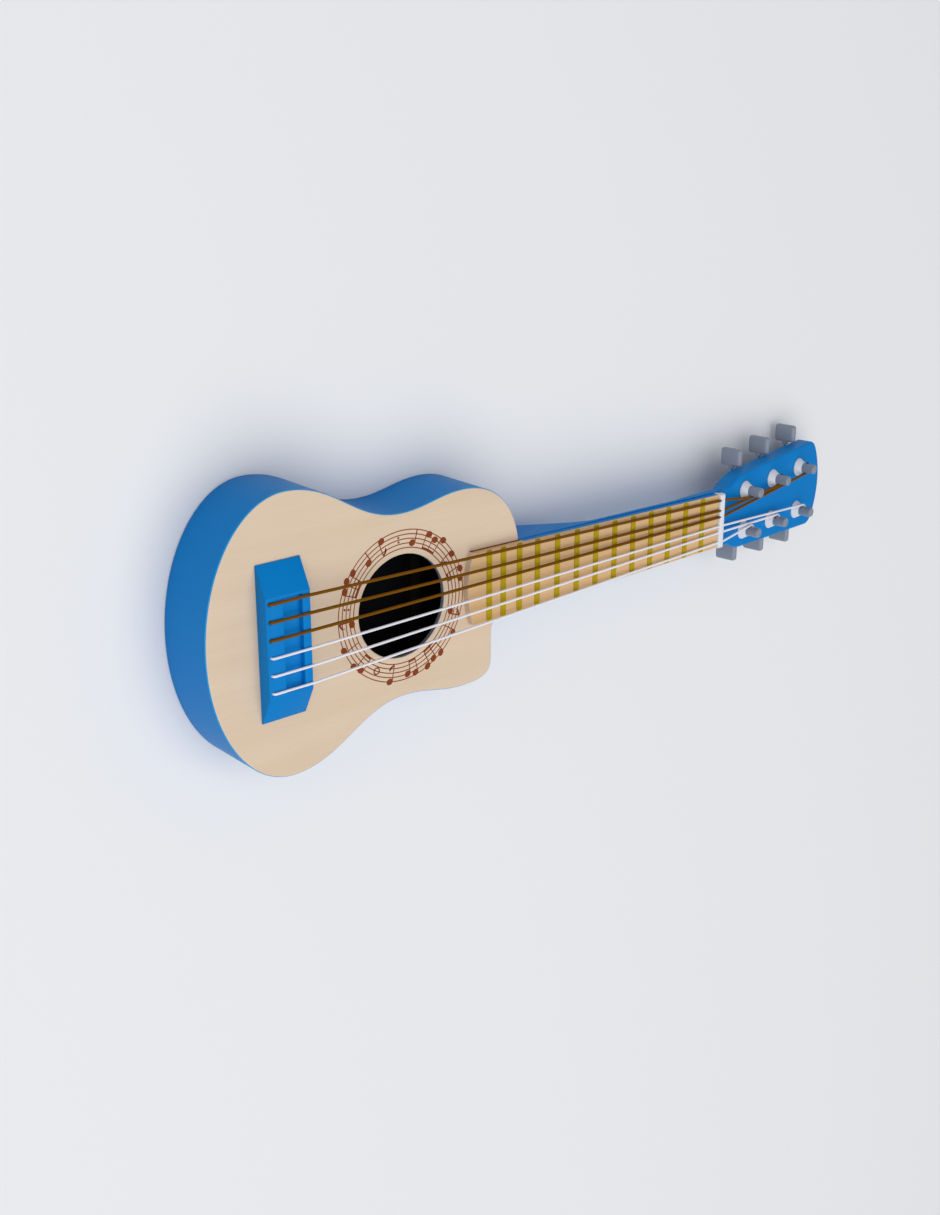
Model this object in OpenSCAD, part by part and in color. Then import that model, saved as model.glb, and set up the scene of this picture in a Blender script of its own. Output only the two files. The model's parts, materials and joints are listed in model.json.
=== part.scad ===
// Six-string toy acoustic guitar with a cutaway, lying on its back.
// X runs from the tail to the headstock, +Y is the side of the bass strings and +Z leaves the
// soundboard. The origin is under the middle of the length, on the plane that the back rests on.

/* [Body] */
// Length of the body, tail to neck joint
body_l = 264; // [254:1:276]
// Width across the lower bout
lower_w = 197; // [186:1:208]
// Width across the waist
waist_w = 133; // [124:1:142]
// Width across the upper bout
upper_w = 147; // [140:1:156]
// Tail to the widest point of the lower bout
lower_at = 64; // [58:1:70]
// Neck joint back to the waist
joint_to_waist = 106; // [100:1:112]
// Neck joint back to the widest point of the upper bout
joint_to_upper = 53; // [48:1:58]
// How far the cutaway bites back from the neck joint
cutaway_l = 26; // [22:1:30]
// Radius of the hollow corner between cutaway and neck
cutaway_r = 12; // [9:1:14]
// Depth of the body, back to soundboard
body_d = 50; // [44:1:58]
// Thickness of the soundboard
top_t = 3; // [2:0.5:4]
// Thickness of the back plate
back_t = 3; // [2:0.5:4]
// Thickness of the bent sides
side_t = 4; // [3:0.5:5]
// Diameter of the sound hole
hole_d = 74; // [64:1:80]
// Neck joint back to the centre of the sound hole
joint_to_hole = 107.5; // [104:0.5:112]

/* [Inside the body] */
// Width of the lining strips
lining_w = 5; // [3:0.5:6]
// Height of the lining strips
lining_h = 6; // [4:0.5:9]
// Length of the tail block along the strings
tail_block_l = 16; // [10:1:22]
// Width of the tail block
tail_block_w = 60; // [40:1:80]
// Length of the neck block along the strings
neck_block_l = 36; // [28:1:42]
// Width of a brace
brace_w = 8; // [5:0.5:10]
// Height of a brace
brace_h = 10; // [6:0.5:13]
// Gap between the sound hole and the soundboard brace on each side of it
brace_gap = 7; // [4:1:10]
// Thickness of the plate glued under the bridge
bridge_plate_t = 2.5; // [1.5:0.5:4]
// Overlap of that plate past the bridge
bridge_plate_edge = 5; // [2:1:8]
// Diameter of the two dowels in the neck joint
dowel_d = 8; // [5:0.5:10]
// Depth of the dowels in the neck block, and again in the heel
dowel_l = 24; // [16:1:27]

/* [Neck and fretboard] */
// Length of the neck, body to nut
neck_l = 212.5; // [195:0.5:225]
// Depth of the neck's shaft under the fretboard
shaft_d = 13; // [11:0.5:15]
// Length over which the heel curves into the shaft
heel_l = 82; // [70:1:110]
// Width of the neck and of the headstock's root at the nut
neck_nut_w = 47; // [44:0.5:50]
// How far the neck stands out past the fretboard at the body, on each side
neck_over = 0.5; // [0:0.1:1.5]
// Width of the fretboard at the nut
board_nut_w = 44.6; // [42:0.1:46]
// Width of the fretboard at its end over the body
board_end_w = 54.4; // [50:0.1:58]
// Thickness of the fretboard
board_t = 5.5; // [4:0.5:7]
// Length of the fretboard over the body
board_over = 52.5; // [46:0.5:54]
// How far the rounded end of the fretboard bulges
board_bulge = 5; // [3:0.5:8]
// Number of frets
fret_count = 13; // [8:1:13]
// Width of a fret bar
fret_w = 4.8; // [3:0.1:6]
// Height of a fret bar
fret_h = 0.9; // [0.5:0.1:1.2]
// Nut to the first fret
first_fret = 18.9; // [16:0.1:22]
// Pitch of the first ten frets
fret_pitch = 20; // [18:0.1:20.5]
// How much each later gap shrinks
fret_shrink = 2.2; // [1:0.1:2.6]
// Bare margin at each end of a fret
fret_margin = 0.4; // [0.2:0.1:2]
// Thickness of the nut along the strings
nut_t = 6; // [4:0.5:8]
// Height of the nut above the fretboard
nut_h = 2.2; // [1.8:0.1:3]
// Overlap of the nut past each side of the fretboard
nut_over = 0; // [0:0.1:1]

/* [Bridge and strings] */
// Tail to the rear face of the bridge
bridge_at = 39; // [34:1:46]
// Length of the bridge along the strings
bridge_l = 34; // [28:1:38]
// Width of the bridge across the strings
bridge_w = 108.5; // [100:0.5:116]
// Width of the flat top of the bridge
bridge_flat_w = 69; // [66:1:76]
// Height of the bridge's flat top
bridge_h = 11; // [9:0.5:13]
// Height of the bridge at its thin ends
bridge_end_h = 1; // [0.5:0.5:3]
// Length of the trough across the bridge's top, along the strings
trough_l = 15; // [10:1:18]
// Width of that trough across the strings
trough_w = 65; // [60:1:66]
// Depth of that trough
trough_d = 4; // [2:0.5:6]
// Bridge's front face to the trough
trough_at = 6; // [4:0.5:8]
// Diameter of a string
string_d = 1.8; // [1.2:0.1:2]
// Pitch of the strings at the bridge
bridge_pitch = 12.2; // [11:0.1:12.4]
// Centre line to the inner two strings at the nut
nut_inner = 3.9; // [3.4:0.1:4.4]
// Centre line to the middle two strings at the nut
nut_middle = 9.2; // [8.6:0.1:9.6]
// Centre line to the outer two strings at the nut
nut_outer = 17.5; // [16.5:0.1:19]
// Bridge's rear face to the holes that the strings come out of
string_hole_at = 3; // [2:0.5:5]
// Depth of those holes
string_hole_d = 6; // [4:0.5:8]

/* [Headstock] */
// Length of the headstock along its face
head_l = 164.6; // [158:0.2:172]
// Thickness of the headstock
head_t = 14; // [12:0.5:16]
// Angle that the headstock leans back
head_tilt = 9.2; // [6:0.2:11]
// Height of the face above the neck's top, just behind the nut
face_lift = 3; // [2:0.5:4]
// Length of the flare from the neck's width
flare_l = 40; // [34:1:46]
// Width at the end of the flare
head_near_w = 64; // [62:0.5:70]
// Width at the far corners
head_far_w = 74.7; // [72:0.1:80]
// Radius of the far corners
head_corner_r = 14; // [8:1:18]
// How far the far end bulges
head_bulge = 4.4; // [1:0.2:6]

/* [Tuners] */
// Nut to the first pair of posts, along the face
post_first = 37; // [34:0.5:40]
// Pitch of the posts along the face
post_pitch = 44.5; // [40:0.5:46]
// Centre line to the first pair of posts
post_side = 17.1; // [16.5:0.1:18.5]
// How much farther out each next pair stands
post_splay = 1; // [0.5:0.1:1.5]
// Diameter of a post
post_d = 8; // [7:0.1:8.2]
// Height of a post above the face
post_h = 16.5; // [12:0.5:20]
// Height of the strings above the face, at the posts
string_lift = 6.9; // [6.7:0.1:7.5]
// How much higher the outer two strings wind, so that the next ones pass under them
string_step = 0.8; // [0.6:0.1:2]
// Diameter of a bushing's foot
bushing_d = 15.4; // [14:0.1:15.6]
// Diameter of a bushing's top
bushing_top_d = 9.6; // [9:0.1:9.8]
// Height of a bushing above the face
bushing_h = 5.6; // [4:0.1:5.7]
// Depth of a bushing's sleeve in the headstock
sleeve_l = 7; // [4:0.5:10]
// Thickness of the tuner plates on the rear face
plate_t = 1; // [0.8:0.1:1.5]
// Width of the tuner plates
plate_w = 17; // [16:0.5:20]
// Number of teeth on a tuner gear
gear_teeth = 14; // [12:1:16]
// Pitch of the teeth, and of the worm's thread
tooth_pitch = 2.2; // [2:0.1:2.4]
// Thickness of a tuner gear
gear_t = 2.2; // [1.8:0.1:2.6]
// Diameter of the worm at its pitch line
worm_d = 4.2; // [4:0.1:4.6]
// Turns of thread on a worm
worm_turns = 4; // [3:1:5]
// Length of a button along the headstock
button_l = 6.2; // [5:0.1:8]
// Width of a button, outwards from the headstock
button_w = 13.4; // [10:0.1:14]
// Height of a button, front to rear
button_h = 18.4; // [15:0.1:20]
// Radius of a button's edges
button_r = 2.2; // [0.8:0.1:2.4]
// Gap between a button and the headstock's edge
button_gap = 2.5; // [1.5:0.5:4]

/* [Hidden] */
$fn = 48;

string_count = 6;
per_side = string_count / 2;
clear_gap = 0.3; // between pieces that turn past each other
running_gap = 0.08; // between a shaft and the bore it turns in
slip_gap = 0.1; // between pieces that slide together and stay
over = 1; // how far a cutting shape reaches past what it cuts
curve_steps = 18; // segments in one stretch of the body's outline

wood = "#d8c4a4";
inner_wood = "#c9ad82";
blue = "#0076be";
board_wood = "#c9a67c";
fret_gold = "#a5961a";
bass_bronze = "#73460a";
pale_plastic = "#e8e8ea";
grey_plastic = "#b9bec6";
steel = "#9aa0a6";

// Stations along X, from the tail
nut_front = body_l + neck_l;
nut_back = nut_front + nut_t;
total_l = nut_back + head_l * cos(head_tilt);
board_start = body_l - board_over;
bridge_front = bridge_at + bridge_l;
cutaway_at = body_l - cutaway_l;
waist_at = body_l - joint_to_waist;
upper_at = body_l - joint_to_upper;
hole_at = body_l - joint_to_hole;

// Heights
board_top = body_d + board_t;
string_r = string_d / 2;
nut_top = board_top + nut_h;
string_at_nut = nut_top - string_r / 2;
string_at_bridge = body_d + bridge_h + string_r;

// ---- Curves ----------------------------------------------------------------------------

function unit(v) = v / norm(v);
function clamp01(s) = min(1, max(0, s));
function mirrored(points) = [for (i = [len(points) - 1:-1:0]) [points[i][0], -points[i][1]]];

// Points of a cubic curve, without its last one
function curve(a, b, c, d, n) = [
    for (i = [0:n - 1])
        let (s = i / n)
        pow(1 - s, 3) * a + 3 * s * pow(1 - s, 2) * b + 3 * s * s * (1 - s) * c + pow(s, 3) * d
];

// A curve between two points that are each the widest or narrowest of the outline
function swell(a, b, reach_a, reach_b) =
    curve(a, [a[0] + reach_a, a[1]], [b[0] - reach_b, b[1]], b, curve_steps);

function left_normal(a, b) = let (d = unit(b - a)) [-d[1], d[0]];

// The closed outline drawn in by a distance; its points run anticlockwise
function drawn_in(points, distance) = [
    for (i = [0:len(points) - 1])
        let (
            n = len(points),
            before = left_normal(points[(i + n - 1) % n], points[i]),
            after = left_normal(points[i], points[(i + 1) % n])
        )
        points[i] + (before + after) * distance / (1 + before * after)
];

// ---- Body outline ----------------------------------------------------------------------

// Half width of the fretboard, and of the neck under it
function board_half(t) =
    (board_nut_w + (board_end_w - board_nut_w) * (nut_front - t) / (nut_front - board_start)) / 2;

// Half width of the neck, from the body to the nut
joint_half = board_half(body_l) + neck_over;
function neck_half(t) =
    joint_half + (neck_nut_w / 2 - joint_half) * (min(t, nut_front) - body_l) / neck_l;

quarter = 0.5523; // handle of a cubic curve that draws a quarter of an ellipse

// Tail to the widest point of the upper bout, on the side of the bass strings
function bouts() = let (
    tail = [0, 0],
    lower = [lower_at, lower_w / 2],
    waist = [waist_at, waist_w / 2],
    upper = [upper_at, upper_w / 2],
    lower_reach = (waist_at - lower_at) * 0.42,
    upper_reach = (upper_at - waist_at) * 0.38
) concat(
    curve(
        tail, [0, quarter * lower[1]], [lower_at * (1 - quarter), lower[1]], lower, curve_steps
    ),
    swell(lower, waist, lower_reach, lower_reach),
    swell(waist, upper, upper_reach, upper_reach),
    [upper]
);

// The round shoulder from the upper bout to the neck, on the bass side
function shoulder() = let (
    upper = [upper_at, upper_w / 2],
    joint = [body_l, joint_half],
    reach = body_l - upper_at,
    drop = upper[1] - joint_half
) concat(
    curve(upper, upper + [0.58 * reach, 0], joint + [-0.08 * reach, 0.6 * drop], joint, curve_steps),
    [joint]
);

// The horn of the cutaway and its hollow corner at the neck, on the treble side
function cutaway() = let (
    upper = [upper_at, upper_w / 2],
    horn = [cutaway_at, upper_w / 2 - 0.55 * (cutaway_at - upper_at)],
    hollow = [cutaway_at + cutaway_r, joint_half + cutaway_r],
    turns = 8
) concat(
    curve(
        upper, upper + [0.6 * (cutaway_at - upper_at), 0],
        horn + [0, 0.9 * (upper[1] - horn[1])], horn, curve_steps
    ),
    [horn],
    [for (i = [0:turns]) hollow + cutaway_r * [-cos(90 * i / turns), -sin(90 * i / turns)]],
    [[body_l, joint_half]]
);

function tail_to_neck(end_piece) = concat([for (p = bouts()) if (p[0] < upper_at) p], end_piece);

bass_half = tail_to_neck(shoulder());
treble_half = tail_to_neck(cutaway());
body_outline = concat(
    [for (p = treble_half) [p[0], -p[1]]],
    [for (i = [len(bass_half) - 1:-1:1]) bass_half[i]]
);
inner_outline = drawn_in(body_outline, side_t);
brace_outline = drawn_in(body_outline, side_t + lining_w);

// ---- Placing ---------------------------------------------------------------------------

// The tail is at X = 0 inside this
module from_tail() {
    translate([-total_l / 2, 0, 0]) children();
}

// The headstock's face is Z = 0 inside this, and X = 0 is the edge of the nut
module on_face() {
    from_tail() translate([nut_back, 0, body_d + face_lift]) rotate([0, head_tilt, 0]) children();
}

// A point given on the headstock's face, as seen from the tail
function face_point(p) = [
    nut_back + p[0] * cos(head_tilt) + p[2] * sin(head_tilt),
    p[1],
    body_d + face_lift - p[0] * sin(head_tilt) + p[2] * cos(head_tilt)
];

// Strings are numbered from the treble side; 1 to 3 go to the treble tuners
function side(s) = s > per_side ? 1 : -1;
function place_in_row(s) = s > per_side ? string_count - s : s - 1;
function across(s) = s - (string_count + 1) / 2;
function nut_y(s) = side(s) * [nut_outer, nut_middle, nut_inner][place_in_row(s)];
function lift(s) = string_lift + (place_in_row(s) == 0 ? string_step : 0);
function post_u(s) = post_first + post_pitch * place_in_row(s);
function post_v(s) = post_side + post_splay * place_in_row(s);

// The axis of one post is Z inside this, and +Y points to its button
module at_tuner(s) {
    on_face() mirror([0, side(s) > 0 ? 0 : 1, 0]) translate([post_u(s), post_v(s), 0]) children();
}

// ---- Body ------------------------------------------------------------------------------

module slab(points, z, thickness) {
    translate([0, 0, z]) linear_extrude(thickness) polygon(points);
}

module ring(outer, inner, z, height) {
    translate([0, 0, z]) linear_extrude(height) difference() {
        polygon(outer);
        polygon(inner);
    }
}

inside_h = body_d - top_t - back_t;

module soundboard() {
    color(wood) from_tail() difference() {
        slab(body_outline, body_d - top_t, top_t);
        translate([hole_at, 0, 0]) cylinder(d = hole_d, h = body_d + over);
    }
}

module back_plate() {
    color(blue) from_tail() slab(body_outline, 0, back_t);
}

module side_rim() {
    color(blue) from_tail() difference() {
        ring(body_outline, inner_outline, back_t, inside_h);
        dowel_bores();
    }
}

module block_space(from, length, width) {
    translate([from, -width / 2, 0]) cube([length, width, body_d]);
}

module tail_block_space() {
    block_space(0, side_t + tail_block_l, tail_block_w);
}

module neck_block_space() {
    block_space(
        body_l - side_t - neck_block_l, neck_block_l + side_t, 2 * (joint_half - side_t)
    );
}

module lining(z) {
    color(inner_wood) from_tail() difference() {
        ring(inner_outline, brace_outline, z, lining_h);
        tail_block_space();
        neck_block_space();
    }
}

module top_lining() {
    lining(body_d - top_t - lining_h);
}

module back_lining() {
    lining(back_t);
}

module tail_block() {
    color(inner_wood) from_tail() intersection() {
        slab(inner_outline, back_t, inside_h);
        tail_block_space();
    }
}

module neck_block() {
    color(inner_wood) from_tail() difference() {
        intersection() {
            slab(inner_outline, back_t, inside_h);
            neck_block_space();
        }
        dowel_bores();
    }
}

// A bar across the body, planed down to a low point at the linings
module brace(at, z, points_up) {
    half = lower_w / 2;
    tip_h = brace_h / 3;
    intersection() {
        slab(brace_outline, 0, body_d);
        translate([at + brace_w / 2, 0, z]) rotate([90, 0, -90]) mirror([0, points_up ? 0 : 1, 0])
            linear_extrude(brace_w) polygon([
                [-half, 0], [half, 0], [half, tip_h / 2], [half / 2, brace_h],
                [-half / 2, brace_h], [-half, tip_h / 2]
            ]);
    }
}

module top_braces() {
    reach = (hole_d + brace_w) / 2 + brace_gap;
    color(inner_wood) from_tail() {
        brace(hole_at - reach, body_d - top_t, false);
        brace(hole_at + reach, body_d - top_t, false);
    }
}

module back_braces() {
    color(inner_wood) from_tail() {
        brace((lower_at + waist_at) / 2, back_t, true);
        brace((waist_at + cutaway_at) / 2, back_t, true);
    }
}

module bridge_plate() {
    edge = bridge_plate_edge;
    color(inner_wood) from_tail()
        translate([bridge_at - edge, -bridge_w / 2 - edge, body_d - top_t - bridge_plate_t])
            cube([bridge_l + 2 * edge, bridge_w + 2 * edge, bridge_plate_t]);
}

// ---- Neck ------------------------------------------------------------------------------

dowel_heights = [body_d * 0.44, body_d * 0.74];

module dowel_row(d, from, to) {
    for (z = dowel_heights)
        translate([from, 0, z]) rotate([0, 90, 0]) cylinder(d = d, h = to - from);
}

module dowel_bores() {
    dowel_row(dowel_d + 2 * slip_gap, body_l - side_t - dowel_l - slip_gap, body_l + dowel_l + slip_gap);
}

module heel_dowels() {
    color(inner_wood) from_tail() dowel_row(dowel_d, body_l - side_t - dowel_l, body_l + dowel_l);
}

heel_cut = 2; // how far the heel's round section would pass the back before it is cut flush
volute_l = 10; // how far the shaft runs on under the headstock
volute_rise = 0.1; // its slope there

// Depth of the neck under the fretboard: a heel as deep as the body, then a slim shaft
function neck_depth(t) =
    shaft_d + (body_d + heel_cut - shaft_d) * pow(1 - clamp01((t - body_l) / heel_l), 1.6)
    - volute_rise * max(0, t - nut_back);

// The section is a rounded block at the heel, nearly a half ellipse along the shaft, and squares up
// again towards the headstock
function neck_power(t) = 2.4
    + 5.6 * clamp01((body_l + heel_l - t) / (0.37 * heel_l))
    + 2.1 * clamp01((t - nut_front + 40) / 50);

neck_section_steps = 18;
function neck_section(t) = let (
    half = neck_half(t),
    depth = neck_depth(t),
    e = 2 / neck_power(t)
) [
    for (i = [0:neck_section_steps])
        let (a = 180 * i / neck_section_steps)
        [t, -sign(cos(a)) * half * pow(abs(cos(a)), e), body_d - depth * pow(sin(a), e)]
];

module neck_shaft() {
    steps = 26;
    end = nut_back + volute_l;
    stations = [for (i = [0:steps]) body_l + (end - body_l) * pow(i / steps, 1.25)];
    loft([for (t = stations) neck_section(t)]);
}

// A solid through a row of closed sections with equal numbers of points
module loft(sections) {
    n = len(sections[0]);
    last = len(sections) - 1;
    polyhedron(
        points = [for (s = sections) each s],
        faces = concat(
            [[for (j = [0:n - 1]) j]],
            [
                for (i = [0:last - 1], j = [0:n - 1], upper = [true, false])
                    let (a = i * n + j, b = i * n + (j + 1) % n)
                    upper ? [b, a, a + n] : [b, a + n, b + n]
            ],
            [[for (j = [n - 1:-1:0]) last * n + j]]
        )
    );
}

function head_half(u) = (
    head_near_w + (head_far_w - head_near_w) * (u - flare_l) / (head_l - head_corner_r - flare_l)
) / 2;

function head_outline() = let (
    nut_half = neck_nut_w / 2,
    shoulder_end = [head_l - head_bulge - head_corner_r, head_far_w / 2],
    corner_end = [head_l - head_bulge, head_far_w / 2 - head_corner_r],
    bass = concat(
        [[-nut_t, nut_half]],
        curve(
            [0.1 * flare_l, nut_half], [0.52 * flare_l, nut_half],
            [0.45 * flare_l, head_near_w / 2 - 0.8], [flare_l, head_near_w / 2], 14
        ),
        [[flare_l, head_near_w / 2]],
        curve(
            shoulder_end, shoulder_end + [quarter * head_corner_r, 0],
            corner_end + quarter * head_corner_r * [-2 * head_bulge / corner_end[1], 1],
            corner_end, 8
        ),
        curve(
            corner_end, [head_l + head_bulge / 3, corner_end[1] / 3],
            [head_l + head_bulge / 3, -corner_end[1] / 3], [corner_end[0], -corner_end[1]], 10
        )
    ),
    far_edge = 10
) concat(bass, mirrored([for (i = [0:len(bass) - 1 - far_edge]) bass[i]]));

module headstock() {
    on_face() translate([0, 0, -head_t]) linear_extrude(head_t) polygon(head_outline());
}

sleeve_d = post_d + 3;
screw_d = 2.2;
screw_l = 8;

module neck() {
    color(blue) difference() {
        union() {
            from_tail() neck_shaft();
            headstock();
        }
        // the nut's notch and the fretboard's seat
        from_tail() translate([0, -board_end_w, body_d]) cube([nut_back, 2 * board_end_w, body_d]);
        // the heel is flush with the back
        from_tail() translate([0, -board_end_w, -body_d]) cube([nut_back, 2 * board_end_w, body_d]);
        from_tail() dowel_bores();
        for (s = [1:string_count]) at_tuner(s)
            translate([0, 0, -head_t - over])
                cylinder(d = sleeve_d + 2 * slip_gap, h = head_t + 2 * over);
        for (s = [1, string_count]) at_screws(s)
            translate([0, 0, -head_t - over]) cylinder(d = screw_d, h = screw_l + over);
    }
}

module fretboard() {
    r = (pow(board_end_w / 2, 2) + pow(board_bulge, 2)) / (2 * board_bulge);
    color(board_wood) from_tail() translate([0, 0, body_d]) linear_extrude(board_t) intersection() {
        polygon([
            [board_start, -board_half(board_start)], [nut_front, -board_nut_w / 2],
            [nut_front, board_nut_w / 2], [board_start, board_half(board_start)]
        ]);
        union() {
            translate([board_start + r, 0]) circle(r, $fn = 180);
            translate([board_start + r, -board_end_w]) square([nut_front, 2 * board_end_w]);
        }
    }
}

even_frets = 10;
function fret_at(i) = let (late = max(0, i - even_frets))
    nut_front - first_fret - fret_pitch * (i - 1) + fret_shrink * late * (late + 1) / 2;

module frets() {
    crown_r = (pow(fret_w / 2, 2) + pow(fret_h, 2)) / (2 * fret_h);
    color(fret_gold) from_tail() for (i = [1:fret_count])
        let (t = fret_at(i), half = board_half(t) - fret_margin)
        intersection() {
            translate([t, half, board_top + fret_h - crown_r]) rotate([90, 0, 0])
                cylinder(r = crown_r, h = 2 * half);
            translate([t - fret_w, -half, board_top]) cube([2 * fret_w, 2 * half, fret_w]);
        }
}

module nut() {
    crown = nut_t / 3;
    half = board_nut_w / 2 + nut_over;
    color(pale_plastic) from_tail() difference() {
        translate([nut_front, half, body_d]) rotate([90, 0, 0]) linear_extrude(2 * half) union() {
            square([nut_t, nut_top - body_d - crown]);
            translate([crown, 0]) square([nut_t - 2 * crown, nut_top - body_d]);
            for (x = [crown, nut_t - crown])
                translate([x, nut_top - body_d - crown]) circle(crown);
        }
        for (s = [1:string_count])
            translate([nut_front - over, nut_y(s), string_at_nut])
                rotate([0, 90, 0]) cylinder(r = string_r + slip_gap, h = nut_t + 2 * over);
    }
}

// ---- Bridge and strings ----------------------------------------------------------------

module bridge() {
    flat = bridge_flat_w / 2;
    color(blue) from_tail() difference() {
        translate([bridge_at, 0, body_d]) rotate([90, 0, 90]) linear_extrude(bridge_l) polygon([
            [-bridge_w / 2, 0], [bridge_w / 2, 0], [bridge_w / 2, bridge_end_h], [flat, bridge_h],
            [-flat, bridge_h], [-bridge_w / 2, bridge_end_h]
        ]);
        translate([bridge_front - trough_at - trough_l, -trough_w / 2, body_d + bridge_h - trough_d])
            cube([trough_l, trough_w, bridge_h]);
        for (s = [1:string_count])
            translate([bridge_at + string_hole_at, bridge_pitch * across(s), body_d + bridge_h]) {
                translate([0, 0, -string_hole_d])
                    cylinder(r = string_r + slip_gap, h = string_hole_d + over);
                translate([0, 0, -string_r])
                    cylinder(r1 = string_r, r2 = 2 * string_r + over, h = string_r + over);
            }
    }
}

string_bend = string_d; // radius of the string's turn out of the bridge
bend_steps = 4;
wrap_angle = 130; // how far a string goes round its post
wrap_steps = 9;

// From the bridge's hole, over the bridge and the nut, then round the inner side of the post
function string_path(s) = let (
    y = bridge_pitch * across(s),
    hole_x = bridge_at + string_hole_at,
    low = body_d + bridge_h - string_hole_d + slip_gap,
    bend_z = string_at_bridge - string_bend,
    rise = string_at_nut - body_d - face_lift,
    leave = [-rise * sin(head_tilt), abs(nut_y(s))],
    post = [post_u(s), post_v(s)],
    wrap_r = post_d / 2 + clear_gap + string_r,
    away = leave - post,
    touch = atan2(away[1], away[0]) + acos(wrap_r / norm(away))
) concat(
    [[hole_x, y, low]],
    [
        for (i = [0:bend_steps])
            let (a = 90 * i / bend_steps)
            [hole_x + string_bend * (1 - cos(a)), y, bend_z + string_bend * sin(a)]
    ],
    [[bridge_front, y, string_at_bridge], [nut_back, nut_y(s), string_at_nut]],
    [
        for (i = [0:wrap_steps])
            let (
                a = touch + wrap_angle * i / wrap_steps,
                p = post + wrap_r * [cos(a), sin(a)]
            )
            face_point([p[0], side(s) * p[1], lift(s)])
    ]
);

function along(path, i) =
    unit(path[min(i + 1, len(path) - 1)] - path[max(i - 1, 0)]);

// One sideways direction for each point, turned no more than the path turns
function carried(path, before, i = 0) =
    i >= len(path) ? [] :
    let (t = along(path, i), here = unit(before - (before * t) * t))
    concat([here], carried(path, here, i + 1));

module tube(path, r, sides) {
    sideways = carried(path, [0, 1, 0]);
    loft([
        for (i = [0:len(path) - 1])
            let (a = sideways[i], b = cross(along(path, i), a))
            [
                for (j = [0:sides - 1])
                    let (w = 360 * (j + 0.5) / sides)
                    path[i] + r * (a * cos(w) + b * sin(w))
            ]
    ]);
}

module guitar_string(s) {
    color(s > per_side ? bass_bronze : "white") from_tail() tube(string_path(s), string_r, 8);
}

// ---- Tuners ----------------------------------------------------------------------------

addendum = tooth_pitch * 0.3;
dedendum = tooth_pitch * 0.4;
gear_r = gear_teeth * tooth_pitch / (2 * PI);
worm_r = worm_d / 2;
worm_from_post = gear_r + worm_r;
worm_z = -head_t - plate_t - clear_gap - worm_r - addendum;
thread_l = worm_turns * tooth_pitch;
shaft_r = worm_r - dedendum;
bearing_t = 1.4;
bearing_at = thread_l / 2 + tooth_pitch / 2 + clear_gap;
journal_d = post_d - 3;
spigot_d = journal_d - 1.2;
gear_top = worm_z + gear_t / 2;
gear_screw_d = 2;
gear_screw_head_d = spigot_d + 1.6;
gear_screw_head_h = 1.2;

module post_bushings() {
    color(pale_plastic) for (s = [1:string_count]) at_tuner(s) rotate_extrude() polygon([
        [post_d / 2 + running_gap, -sleeve_l], [sleeve_d / 2, -sleeve_l], [sleeve_d / 2, 0],
        [bushing_d / 2, 0], [bushing_d / 2, bushing_h / 6], [bushing_top_d / 2, bushing_h],
        [post_d / 2 + running_gap, bushing_h]
    ]);
}

module post(s) {
    edge = post_d / 6;
    shoulder_z = -head_t + clear_gap;
    color(grey_plastic) at_tuner(s) difference() {
        union() {
            translate([0, 0, shoulder_z]) rotate_extrude() {
                square([post_d / 2 - edge, post_h - shoulder_z]);
                square([post_d / 2, post_h - shoulder_z - edge]);
                translate([post_d / 2 - edge, post_h - shoulder_z - edge]) circle(edge);
            }
            translate([0, 0, gear_top]) cylinder(d = journal_d, h = shoulder_z - gear_top + over);
            translate([0, 0, gear_top - gear_t]) cylinder(d = spigot_d, h = gear_t + over);
        }
        translate([0, 0, lift(s)]) rotate([0, 90, 60])
            cylinder(r = string_r + slip_gap, h = post_d + over, center = true);
        translate([0, 0, gear_top - gear_t - over])
            cylinder(d = gear_screw_d + 2 * slip_gap, h = gear_t * 2 + over);
    }
}

// Outline of one tooth, pointing along +X; a gap of the same shape faces the worm
function tooth(turn) = let (
    root = gear_r - dedendum + 0.1 * tooth_pitch,
    tip = gear_r + addendum,
    root_half = 0.27 * tooth_pitch,
    tip_half = 0.1 * tooth_pitch
) [
    for (p = [[root, -root_half], [tip, -tip_half], [tip, tip_half], [root, root_half]])
        [p[0] * cos(turn) - p[1] * sin(turn), p[0] * sin(turn) + p[1] * cos(turn)]
];

module gear(s) {
    color(pale_plastic) at_tuner(s) translate([0, 0, gear_top - gear_t]) difference() {
        linear_extrude(gear_t) polygon([
            for (i = [0:gear_teeth - 1]) each tooth(360 * (i + 0.5) / gear_teeth)
        ]);
        translate([0, 0, -over]) cylinder(d = spigot_d + 2 * slip_gap, h = gear_t + 2 * over);
    }
}

module gear_screw(s) {
    color(steel) at_tuner(s) translate([0, 0, gear_top - gear_t]) {
        translate([0, 0, -gear_screw_head_h]) cylinder(d = gear_screw_head_d, h = gear_screw_head_h);
        cylinder(d = gear_screw_d, h = gear_t * 2 - slip_gap);
    }
}

// A trapezoid thread round Z that faces +X at Z = 0
module thread() {
    steps = 16;
    foot = shaft_r - 0.1 * tooth_pitch;
    crest = worm_r + addendum - 0.03 * tooth_pitch;
    foot_half = 0.22 * tooth_pitch;
    crest_half = 0.07 * tooth_pitch;
    loft([
        for (i = [0:worm_turns * steps])
            let (a = 360 * (i / steps - worm_turns / 2), z = tooth_pitch * a / 360)
            [
                for (p = [
                    [foot, -foot_half], [foot, foot_half], [crest, crest_half], [crest, -crest_half]
                ])
                    [p[0] * cos(a), p[0] * sin(a), z + p[1]]
            ]
    ]);
}

// The worm's axis is Z inside this, and its thread meets the gear at Z = 0
module on_worm(s) {
    at_tuner(s) translate([worm_from_post, 0, worm_z]) rotate([90, 0, 180]) children();
}

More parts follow.
